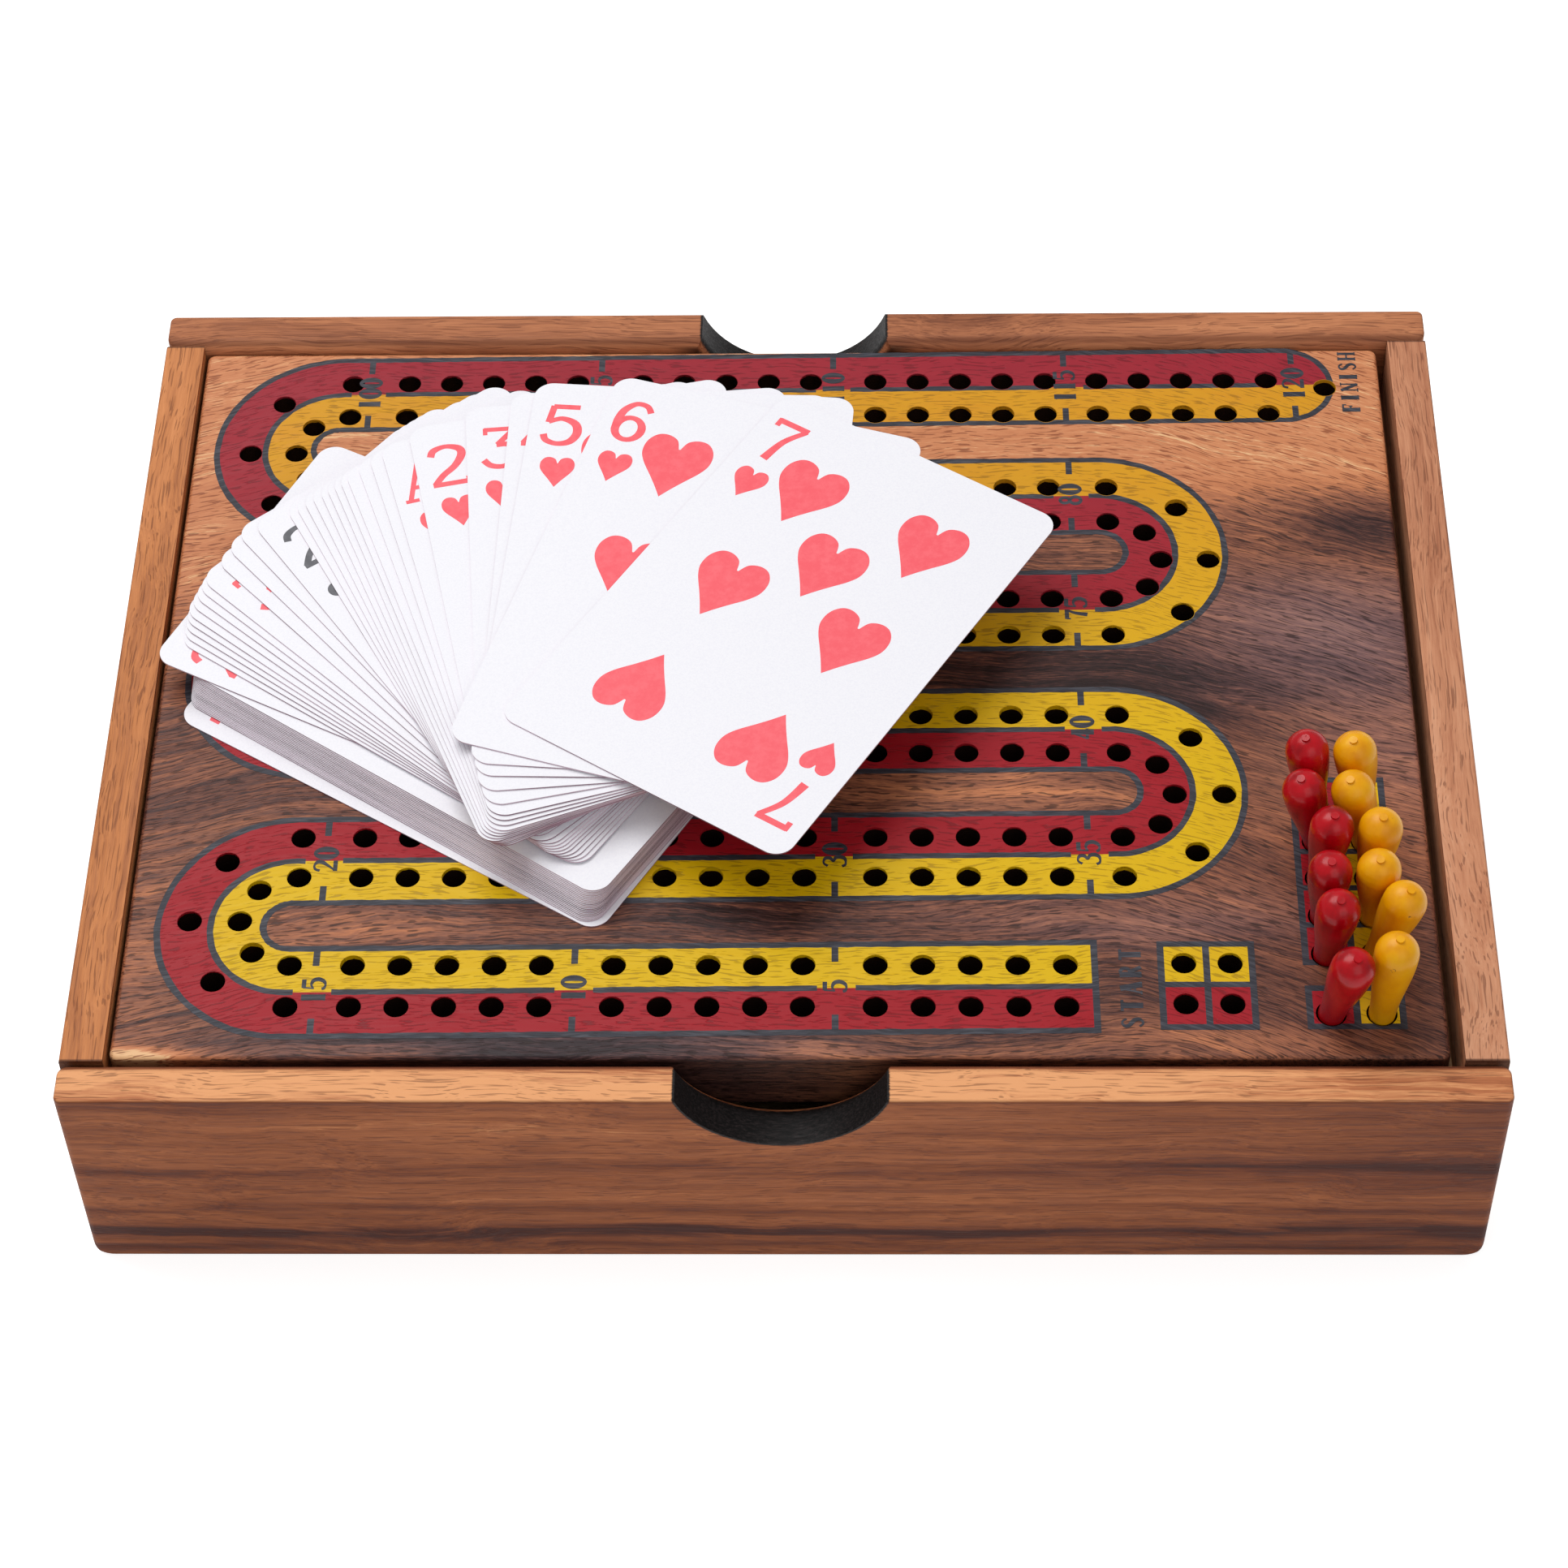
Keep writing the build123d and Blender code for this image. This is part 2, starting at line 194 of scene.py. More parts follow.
class Material(Nodes):
    """A material with one shader. Places and scales are in millimetres."""

    def __init__(self, name):
        self.data = bpy.data.materials.new(name)
        super().__init__(self.data)
        self.shader = self.add("ShaderNodeBsdfPrincipled")
        output = self.add("ShaderNodeOutputMaterial")
        self.feed(output.inputs["Surface"], self.shader.outputs[0])

    def times(self, first, second):
        return self.math("MULTIPLY", first, second)

    def minus(self, first, second):
        return self.math("SUBTRACT", first, second)

    def gap(self, first, second=0.0):
        """The distance between two values."""
        return self.math("ABSOLUTE", self.minus(first, second))

    def total(self, *values):
        result = values[0]
        for value in values[1:]:
            result = self.math("ADD", result, value)
        return result

    def weighted(self, *terms):
        """The sum of values that are each given with their share."""
        return self.total(*(self.times(value, share) for value, share in terms))

    def position(self):
        """The place on the object in millimetres."""
        node = self.add("ShaderNodeVectorMath", operation="SCALE")
        self.feed(node.inputs[0], self.add("ShaderNodeTexCoord").outputs["Object"])
        node.inputs["Scale"].default_value = 1 / MM
        return node.outputs[0]

    def upright(self):
        """0 on an upright face and 1 on a level one."""
        normal = self.add("ShaderNodeNewGeometry").outputs["Normal"]
        return self.math("ABSOLUTE", self.split(normal)[2])

    def split(self, vector):
        node = self.add("ShaderNodeSeparateXYZ")
        self.feed(node.inputs[0], vector)
        return node.outputs[0], node.outputs[1], node.outputs[2]

    def join(self, x, y, z):
        node = self.add("ShaderNodeCombineXYZ")
        for socket, value in zip(node.inputs, (x, y, z)):
            self.feed(socket, value)
        return node.outputs[0]

    def noise(self, place, scale, shift=(0.0, 0.0, 0.0), detail=3.0, rough=0.5, bend=0.0):
        """Noise with scale features to the millimetre along each axis."""
        mapping = self.add("ShaderNodeMapping")
        self.feed(mapping.inputs["Vector"], place)
        mapping.inputs["Location"].default_value = shift
        mapping.inputs["Scale"].default_value = scale
        node = self.add("ShaderNodeTexNoise")
        self.feed(node.inputs["Vector"], mapping.outputs[0])
        for key, value in (("Scale", 1.0), ("Detail", detail), ("Roughness", rough), ("Distortion", bend)):
            node.inputs[key].default_value = value
        return node.outputs["Fac"]

    def smooth(self, value, low, high, first=0.0, last=1.0):
        """Goes smoothly from first to last as value goes from low to high."""
        node = self.add("ShaderNodeMapRange", interpolation_type="SMOOTHSTEP")
        for socket, entry in zip(node.inputs, (value, low, high, first, last)):
            self.feed(socket, entry)
        return node.outputs[0]

    def ramp(self, value, *stops):
        node = self.add("ShaderNodeValToRGB")
        elements = node.color_ramp.elements
        while len(elements) < len(stops):
            elements.new(0.5)
        for element, (place, tint) in zip(elements, stops):
            element.position = place
            element.color = colour(*tint)
        self.feed(node.inputs[0], value)
        return node.outputs[0]

    def mix(self, share, first, second):
        node = self.add("ShaderNodeMix", data_type="RGBA")
        for index, value in ((0, share), (6, first), (7, second)):
            self.feed(node.inputs[index], value)
        return node.outputs[2]

    def patch(self, place, x, y, reach_x, reach_y, amount):
        """A soft round patch that is worth amount in its middle and nothing outside."""
        centred = self.add("ShaderNodeVectorMath", operation="SUBTRACT")
        self.feed(centred.inputs[0], place)
        centred.inputs[1].default_value = (x, y, 0.0)
        flat = self.add("ShaderNodeVectorMath", operation="MULTIPLY")
        self.feed(flat.inputs[0], centred.outputs[0])
        flat.inputs[1].default_value = (1 / reach_x, 1 / reach_y, 0.0)
        reach = self.add("ShaderNodeVectorMath", operation="LENGTH")
        self.feed(reach.inputs[0], flat.outputs[0])
        return self.smooth(reach.outputs["Value"], 0.0, 1.0, amount, 0.0)

    def finish(self, skin, rough, gloss, height, depth, strength=0.5):
        """Sets the shader's colour, roughness and gloss, and a bump of a depth in millimetres."""
        bump = self.add("ShaderNodeBump")
        bump.inputs["Strength"].default_value = strength
        bump.inputs["Distance"].default_value = depth * MM
        self.feed(bump.inputs["Height"], height)
        for key, value in (("Base Color", skin), ("Roughness", rough), ("Specular IOR Level", gloss),
                           ("Normal", bump.outputs[0])):
            self.feed(self.shader.inputs[key], value)
        return self.data


PORE_BROWN = (96, 48, 30)


def grain_bend(material, place, drift_scale, wave_scale, drift_shift=(0, 0, 0), wave_shift=(0, 0, 0)):
    """How far the grain is bent sideways: a slow drift and a quicker wave."""
    drift = material.noise(place, drift_scale, drift_shift, detail=2.0)
    wave = material.noise(place, wave_scale, wave_shift, detail=2.0)
    return material.weighted((drift, 14.0), (wave, 3.0))


def grain_place(material, along="X", seed=0.0):
    """The place on a piece with its grain along X, bent a little as wood is."""
    x, y, z = material.split(material.position())
    if along == "Y":
        x, y = y, x
    straight = material.join(x, y, z)
    bend = grain_bend(material, straight, (0.012, 0.02, 0.02), (0.05, 0.09, 0.09),
                      (seed, 0, 0), (seed, 5, 0))
    return material.join(x, material.total(y, bend), material.total(z, bend))


def pores(material, place, width=0.16, length=2.6, amount=0.62, seed=0.0):
    """Short dark dashes along the grain: 1 in a pore, 0 elsewhere."""
    scale = (0.5 / length, 0.5 / width, 0.5 / width)
    speckle = material.noise(place, scale, (seed, seed, 0), detail=1.5, rough=0.4)
    return material.smooth(speckle, amount, amount + 0.07)


def dark_bands(wood, place, z, streak, seed, bands):
    """The depth of a wall's long dark streaks. Each band is (height, reach, amount)."""
    wide = wood.noise(place, (0.010, 0.3, 0.3), (seed, 7, 0), detail=4.0, rough=0.6)
    depth = wood.times(wood.smooth(wide, 0.36, 0.60, 0.1, 1.0), wood.smooth(streak, 0.34, 0.58, 0.35, 1.0))
    dips = []
    for height, reach, amount in bands:
        waver = wood.noise(place, (0.012, 0.02, 0.02), (seed, height, 0))
        middle = wood.total(height, wood.times(wood.minus(waver, 0.5), 9.0))
        dips.append(wood.smooth(wood.gap(z, middle), 0.0, reach, amount, 0.0))
    return wood.times(wood.total(0.0, *dips), depth)


def charred(wood, skin, fibre):
    """Burns a long wall black in its finger notch, and paints shade on its inner face round the notch."""
    x, y, z = wood.split(wood.position())
    rise = wood.minus(z, NOTCH_CENTRE)
    reach = wood.math("SQRT", wood.total(wood.times(x, x), wood.times(rise, rise)))
    ragged = wood.total(reach, wood.times(fibre, 0.5))
    burnt = wood.smooth(ragged, NOTCH_RADIUS + 0.5, NOTCH_RADIUS + 0.8, 1.0, 0.0)
    soot = wood.noise(wood.position(), (0.5, 3.0, 3.0), detail=4.0, rough=0.7)
    char = wood.mix(wood.smooth(soot, 0.4, 0.75), (9, 7, 7), (46, 38, 38))
    skin = wood.mix(burnt, skin, char)
    # painted shade: the inner face of the wall is darkened round the notch
    inner = wood.smooth(wood.gap(y), SIDE_WALL_END + 0.1, SIDE_WALL_END + 0.7, 0.9, 0.0)
    notch_shade = wood.smooth(reach, NOTCH_RADIUS + 1.0, NOTCH_RADIUS + 8.0, 1.0, 0.0)
    return wood.mix(wood.times(inner, notch_shade), skin, (30, 15, 10))


def seamed(wood, skin):
    """Darkens a side wall where it meets the long walls."""
    y = wood.split(wood.position())[1]
    seam = wood.smooth(wood.gap(y), SIDE_WALL_END - 0.5, SIDE_WALL_END - 0.15, 0.0, 0.75)
    return wood.mix(seam, skin, (58, 28, 18))


def wall_wood(name, along, tints, seed, bands=(), rim_painted_light=0.0, darker_right=0.0):
    """Oiled hardwood with streaks and pores, and with long dark bands where they are given."""
    wood = Material(name)
    place = grain_place(wood, along, seed)
    broad = wood.noise(place, (0.005, 0.09, 0.09), (seed, 0, 0), rough=0.55)
    streak = wood.noise(place, (0.018, 0.55, 0.55), (0, seed, 0), detail=4.0, rough=0.65)
    fine = wood.noise(place, (0.05, 2.2, 2.2), (0, seed, 0), rough=0.6)
    fibre = wood.noise(place, (0.3, 7.0, 7.0), detail=2.0, rough=0.6)
    x, _, z = wood.split(wood.position())
    level = wood.total(
        wood.weighted((broad, 1.0), (streak, 0.8), (fine, 0.5), (fibre, 0.3)),
        -0.80,
        # painted light: the top of the wall is made paler than its face, as overhead light would make it
        wood.smooth(z, RIM_TOP - 0.5, RIM_TOP - 0.1, 0.0, rim_painted_light),
        wood.smooth(x, 10.0, 110.0, 0.0, -darker_right),
    )
    level = wood.minus(level, dark_bands(wood, place, z, streak, seed, bands))
    skin = wood.ramp(level, *[(step / (len(tints) - 1), tint) for step, tint in enumerate(tints)])
    dashes = pores(wood, place, width=0.16, length=4.4, amount=0.58, seed=seed)
    skin = wood.mix(wood.times(dashes, 0.5), skin, PORE_BROWN)
    arris = wood.smooth(wood.gap(z, RIM_TOP - 0.45), 0.1, 0.5, 0.5, 0.0)
    skin = wood.mix(arris, skin, PORE_BROWN)
    skin = charred(wood, skin, fibre) if along == "X" else seamed(wood, skin)
    height = wood.weighted((dashes, -1.0), (fibre, 0.35))
    return wood.finish(skin, wood.smooth(fine, 0.3, 0.7, 0.50, 0.64), 0.2, height, 0.05, 0.6)


def board_grain(material):
    """The grain of the playing board: it runs along X and sweeps down at both ends."""
    x, y, z = material.split(material.position())
    sweep = material.smooth(x, 50.0, 125.0, 0.0, 22.0)
    rise = material.smooth(x, -80.0, -125.0, 0.0, 7.0)
    swept = material.total(y, sweep, rise)
    bend = grain_bend(material, material.join(x, swept, z), (0.014, 0.03, 0.03), (0.06, 0.11, 0.11))
    return material.join(x, material.total(swept, bend), z)


def board_pores(material):
    """The board's pores, the same in the wood and in the paint over it."""
    return pores(material, board_grain(material), width=0.19, length=1.7, amount=0.56, seed=3.0)


# Patches of the board's wood as (x, y, reach along x, reach along y, amount). Above 0 is paler.
SHADES = (
    (106, 38, 22, 9, -0.27),
    (55, 2, 75, 12, -0.20),
    (96, 12, 40, 20, 0.10),
    (30, -25, 62, 9, 0.28),
    (102, -26, 44, 34, 0.24),
    (-78, -54, 40, 9, 0.14),
    (0, -54, 60, 7, -0.14),
    (62, -51, 36, 8, 0.12),
    (-42, -78, 56, 6, -0.26),
    (10, -79.5, 22, 3, 0.28),
    (76, -79, 34, 7, 0.20),
    (-112, -62, 16, 34, 0.20),
)
SAPWOOD = (-114, -81, 30, 4, 0.95)
ORANGE_END = (-112, 30, 42, 44, 0.46)
# Patches of painted sheen: a hazy reflection painted in by making the wood greyer
PAINTED_SHEEN_PATCHES = (
    (97, 12, 46, 24, 0.60),
    (-40, -78, 70, 7, 0.55),
    (66, -52, 60, 10, 0.30),
    (105, -12, 30, 30, 0.30),
)


def board_regions(wood, spot):
    """How pale the board's wood is at a place, and how much painted sheen greys it there."""
    x, y, _ = wood.split(spot)
    shift = wood.noise(spot, (0.02, 0.05, 0.0), detail=2.0)
    warped_y = wood.total(y, wood.times(shift, 16.0), -8.0)
    warped = wood.join(x, warped_y, 0.0)
    orange = wood.math("MINIMUM", 0.55, wood.total(
        wood.smooth(warped_y, 36.0, 52.0, 0.0, 0.46),
        wood.smooth(y, 0.0, 36.0, 0.0, 0.09),
        wood.patch(warped, *ORANGE_END),
    ))
    shades = [wood.patch(warped, *shade) for shade in SHADES]
    pale = wood.total(orange, wood.patch(spot, *SAPWOOD), *shades)
    return pale, wood.total(*[wood.patch(warped, *painted_sheen) for painted_sheen in PAINTED_SHEEN_PATCHES])


def board_edges(wood, skin, spot, fibre):
    """Darkens the board's upright faces, partly as the darker cut wood and partly as painted shade: nearly
    black in its holes, deep brown outside.
    """
    x, y, _ = wood.split(spot)
    low = wood.math("MINIMUM", wood.minus(x, BOARD_LOW.x), wood.minus(y, BOARD_LOW.y))
    high = wood.math("MINIMUM", wood.minus(BOARD_HIGH.x, x), wood.minus(BOARD_HIGH.y, y))
    outside = wood.smooth(wood.math("MINIMUM", low, high), 0.3, 0.8, 1.0, 0.0)
    # painted shade together with the darker cut wood: hole walls nearly black, outer faces deep brown
    side = wood.times(wood.smooth(wood.upright(), 0.3, 0.8, 1.0, 0.0),
                      wood.smooth(outside, 0.0, 1.0, 1.0, 0.66))
    return wood.mix(side, skin, wood.mix(fibre, (8, 4, 3), (36, 20, 14)))


def board_wood():
    """Walnut-brown board with orange wood at the back and pale wood at its front corner."""
    wood = Material("board_wood")
    place = board_grain(wood)
    spot = wood.position()
    pale, painted_sheen = board_regions(wood, spot)
    broad = wood.noise(place, (0.010, 0.14, 0.14), rough=0.55)
    streak = wood.noise(place, (0.022, 0.75, 0.75), (4, 0, 0), detail=4.0, rough=0.65)
    fine = wood.noise(place, (0.09, 2.8, 2.8), (9, 0, 0), rough=0.65)
    fibre = wood.noise(place, (0.5, 6.0, 6.0), detail=2.0, rough=0.6)
    calm = wood.smooth(wood.split(spot)[0], 60.0, 90.0, 1.15, 0.7)
    strength = wood.times(wood.smooth(pale, 0.3, 0.6, 1.0, 0.45), calm)
    ripple = wood.minus(wood.weighted((broad, 0.50), (streak, 0.75)), 0.625)
    small = wood.minus(wood.weighted((fine, 0.60), (fibre, 0.50)), 0.55)
    level = wood.total(pale, 0.31, wood.weighted(
        (ripple, strength), (small, wood.smooth(pale, 0.3, 0.6, 1.1, 0.7))))
    skin = wood.ramp(
        level,
        (0.00, (38, 22, 22)),
        (0.18, (74, 44, 40)),
        (0.36, (120, 73, 56)),
        (0.55, (160, 100, 72)),
        (0.76, (200, 126, 84)),
        (0.92, (214, 142, 98)),
        (1.00, (238, 190, 140)),
    )
    # painted sheen: grey tones mixed into the wood where the sheen patches lie
    sheen_grey = wood.ramp(level, (0.0, (50, 38, 44)), (0.34, (116, 92, 98)), (0.70, (166, 132, 128)))
    skin = wood.mix(painted_sheen, skin, sheen_grey)
    dashes = board_pores(wood)
    pore_tint = wood.mix(wood.smooth(pale, 0.3, 0.6), (40, 22, 18), (134, 66, 38))
    skin = wood.mix(wood.times(dashes, 0.7), skin, pore_tint)
    skin = board_edges(wood, skin, spot, fibre)
    height = wood.weighted((dashes, -1.0), (fibre, 0.3))
    return wood.finish(skin, wood.smooth(fine, 0.3, 0.7, 0.36, 0.5), 0.2, height, 0.06)


def lane_paint(name, front, back, pore_tint, wear_tint):
    """Paint brushed over the wood: front and back are its colours at the two ends of the board."""
    paint = Material(name)
    spot = paint.position()
    tint = paint.mix(paint.smooth(paint.split(spot)[1], -30.0, 65.0), front, back)
    cloud = paint.noise(spot, (0.05, 0.12, 0.0))
    streak = paint.noise(board_grain(paint), (0.08, 1.6, 1.6), detail=4.0, rough=0.65)
    shade = paint.smooth(paint.weighted((cloud, 0.6), (streak, 0.5)), 0.35, 0.75)
    tint = paint.mix(paint.times(shade, 0.35), tint, wear_tint)
    dashes = board_pores(paint)
    tint = paint.mix(paint.times(dashes, 0.42), tint, pore_tint)
    height = paint.weighted((dashes, -1.0), (streak, 0.4))
    return paint.finish(tint, paint.smooth(streak, 0.3, 0.7, 0.34, 0.48), 0.18, height, 0.06, 0.55)


def line_ink():
    """Slate grey ink of the lines and numbers, broken by the pores."""
    ink = Material("line_ink")
    streak = ink.noise(board_grain(ink), (0.15, 2.2, 2.2), rough=0.6)
    tint = ink.mix(ink.smooth(streak, 0.4, 0.75), (44, 44, 54), (80, 80, 88))
    tint = ink.mix(ink.times(board_pores(ink), 0.55), tint, (22, 18, 20))
    return ink.finish(tint, 0.5, 0.3, streak, 0.04)


def peg_paint(name, tint, deep, pale, nick, rough):
    """Enamel on a turned peg: brushed unevenly, with small dark nicks."""
    paint = Material(name)
    spot = paint.position()
    cloud = paint.noise(spot, (0.28, 0.28, 0.12))
    skin = paint.ramp(cloud, (0.30, deep), (0.52, tint), (0.78, pale))
    cracks = paint.noise(spot, (0.9, 0.9, 0.35), detail=4.0, rough=0.7, bend=1.2)
    nicks = paint.smooth(cracks, 0.69, 0.74)
    skin = paint.mix(paint.times(nicks, 0.7), skin, nick)
    turned = paint.noise(spot, (0.25, 0.25, 1.4), detail=2.0)
    height = paint.weighted((nicks, -1.0), (turned, 0.8), (cloud, 1.2))
    return paint.finish(skin, rough, 0.32, height, 0.12)


def card_stock():
    """White coated card with mauve-grey cut edges, darkened past their own tone as painted shade between
    the cards.
    """
    card = Material("card_stock")
    spot = card.position()
    speck = card.noise(spot, (3.0, 3.0, 3.0), detail=2.0)
    face = card.mix(card.smooth(speck, 0.3, 0.8), (246, 245, 250), (240, 239, 246))
    layer = card.noise(spot, (0.03, 0.03, 1.5), detail=2.0, rough=0.7)
    # edge tones: partly the card's own cut edge and partly painted shade from the gaps between cards
    edge = card.mix(card.smooth(layer, 0.38, 0.62), (146, 108, 126), (218, 192, 206))
    skin = card.mix(card.smooth(card.upright(), 0.3, 0.8), edge, face)
    return card.finish(skin, 0.38, 0.4, speck, 0.01, 0.4)


def card_ink(name, tint, pale):
    """Ink printed on a card, a little uneven as print is."""
    ink = Material(name)
    cloud = ink.noise(ink.position(), (0.6, 0.6, 0.6), detail=4.0, rough=0.7)
    return ink.finish(ink.mix(ink.smooth(cloud, 0.35, 0.7), tint, pale), 0.4, 0.4, cloud, 0.01, 0.3)


def raw_wood(name, pale, dark, along):
    """Plain unfinished wood of the hidden pieces."""
    wood = Material(name)
    place = grain_place(wood, along, 4.0)
    streak = wood.noise(place, (0.02, 0.7, 0.7), detail=4.0, rough=0.6)
    fibre = wood.noise(place, (0.3, 5.0, 5.0), detail=2.0)
    skin = wood.ramp(wood.total(streak, wood.times(fibre, 0.2)), (0.4, dark), (0.75, pale))
    skin = wood.mix(wood.times(pores(wood, place), 0.4), skin, (96, 66, 44))
    return wood.finish(skin, 0.72, 0.5, fibre, 0.05)


# ---------------------------------------------------------------- flat prints


def band(path, low, high, closed=False):
    """Quads along a line, between two offsets to its left. An offset is a number or a list."""
    count = len(path)
    lows = low if isinstance(low, list) else [low] * count
    highs = high if isinstance(high, list) else [high] * count
    sides = []
    for index, (x, y) in enumerate(path):
        before = path[index - 1] if index or closed else path[0]
        after = path[(index + 1) % count] if index < count - 1 or closed else path[-1]
        dx, dy = after[0] - before[0], after[1] - before[1]
        size = hypot(dx, dy)
        across = (-dy / size, dx / size)
        sides.append([(x + across[0] * reach, y + across[1] * reach)
                      for reach in (lows[index], highs[index])])
    steps = range(count if closed else count - 1)
    return [[sides[i][0], sides[(i + 1) % count][0], sides[(i + 1) % count][1], sides[i][1]]
            for i in steps]


def circle(x, y, radius, sides=24):
    return [(x + radius * cos(2 * pi * side / sides), y + radius * sin(2 * pi * side / sides))
            for side in range(sides)]


def rectangle(x0, x1, y0, y1):
    return [(x0, y0), (x1, y0), (x1, y1), (x0, y1)]


def turned_left(outline):
    """The outline with its corners in the order that goes round to the left."""
    area = sum(a[0] * b[1] - a[1] * b[0] for a, b in zip(outline, outline[1:] + outline[:1]))
    return outline if area > 0 else outline[::-1]


def fill(layers):
    """Cuts flat outlines into triangles. Layers is a list of (name, outlines), and where two
    overlap the earlier one wins. Returns {name: (points, triangles)}."""
    points, faces, owner = [], [], []
    for number, (name, outlines) in enumerate(layers):
        for outline in outlines:
            start = len(points)
            points += [Vector(point) for point in turned_left(outline)]
            faces.append(list(range(start, start + len(outline))))
            owner.append(number)
    made, _, triangles, _, _, sources = delaunay_2d_cdt(points, [], faces, 0, 1e-4)
    sorted_out = {name: [] for name, _ in layers}
    for triangle, source in zip(triangles, sources):
        if source:
            sorted_out[layers[min(owner[face] for face in source)][0]].append(triangle)
    return {name: ([tuple(point) for point in made], found) for name, found in sorted_out.items()}


def placed(name, data):
    """A new object in the scene."""
    piece = bpy.data.objects.new(name, data)
    bpy.context.scene.collection.objects.link(piece)
    return piece


def add_piece(name, vertices, faces, material, body):
    """A piece that the scene adds. Its vertices are in metres."""
    mesh = bpy.data.meshes.new(name)
    mesh.from_pydata(vertices, [], faces)
    mesh.materials.append(material)
    piece = placed(name, mesh)
    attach(piece, body)


def plate(name, flat, low, high, material, body):
    """A thin closed plate over the triangles of fill(), between two heights."""
    points, triangles = flat
    used = sorted({corner for triangle in triangles for corner in triangle})
    number = {corner: index for index, corner in enumerate(used)}
    count = len(used)
    vertices = [(points[c][0] * MM, points[c][1] * MM, high * MM) for c in used]
    vertices += [(points[c][0] * MM, points[c][1] * MM, low * MM) for c in used]
    tops = [[number[corner] for corner in triangle] for triangle in triangles]
    sides = dict.fromkeys(side for triangle in tops for side in zip(triangle, triangle[1:] + triangle[:1]))
    rims = [(a, b) for a, b in sides if (b, a) not in sides]
    faces = tops + [[corner + count for corner in reversed(triangle)] for triangle in tops]
    faces += [[b, a, a + count, b + count] for a, b in rims]
    add_piece(name, vertices, faces, material, body)


# ---------------------------------------------------------------- letters and digits


def smooth_line(points, steps=6):
    """A Catmull-Rom curve through the points."""
    ends = [points[0], *points, points[-1]]
    line = []
    for p0, p1, p2, p3 in zip(ends, ends[1:], ends[2:], ends[3:]):
        for step in range(steps):
            t = step / steps
            line.append(tuple(
                0.5 * (2 * b + (c - a) * t + (2 * a - 5 * b + 4 * c - d) * t * t
                       + (3 * b - a - 3 * c + d) * t ** 3)
                for a, b, c, d in zip(p0, p1, p2, p3)))
    return line + [tuple(points[-1])]


def pen(line):
    """A pen stroke along a line of (x, y, width)."""
    halves = [width / 2 for _, _, width in line]
    return band([(x, y) for x, y, _ in line], [-half for half in halves], halves)


def stroke(*points):
    """A curved pen stroke through points of (x, y, width), in hundredths of a glyph's height."""
    return pen(smooth_line([[value / 100 for value in point] for point in points]))


def bars(*places):
    """Straight pen strokes as (x0, y0, x1, y1, width), in hundredths."""
    quads = []
    for place in places:
        x0, y0, x1, y1, width = (value / 100 for value in place)
        quads += pen([(x0, y0, width), (x1, y1, width)])
    return quads


def ring(*measures, sides=28):
    """A round stroke as x, y, reach along x and y, width at its sides and at its top and bottom."""
    x, y, reach_x, reach_y, side, cap = (value / 100 for value in measures)
    turns = [2 * pi * step / sides for step in range(sides)]
    path = [(x + reach_x * cos(turn), y + reach_y * sin(turn)) for turn in turns]
    halves = [(cap + (side - cap) * cos(turn) ** 2) / 2 for turn in turns]
    return band(path, [-half for half in halves], halves, closed=True)


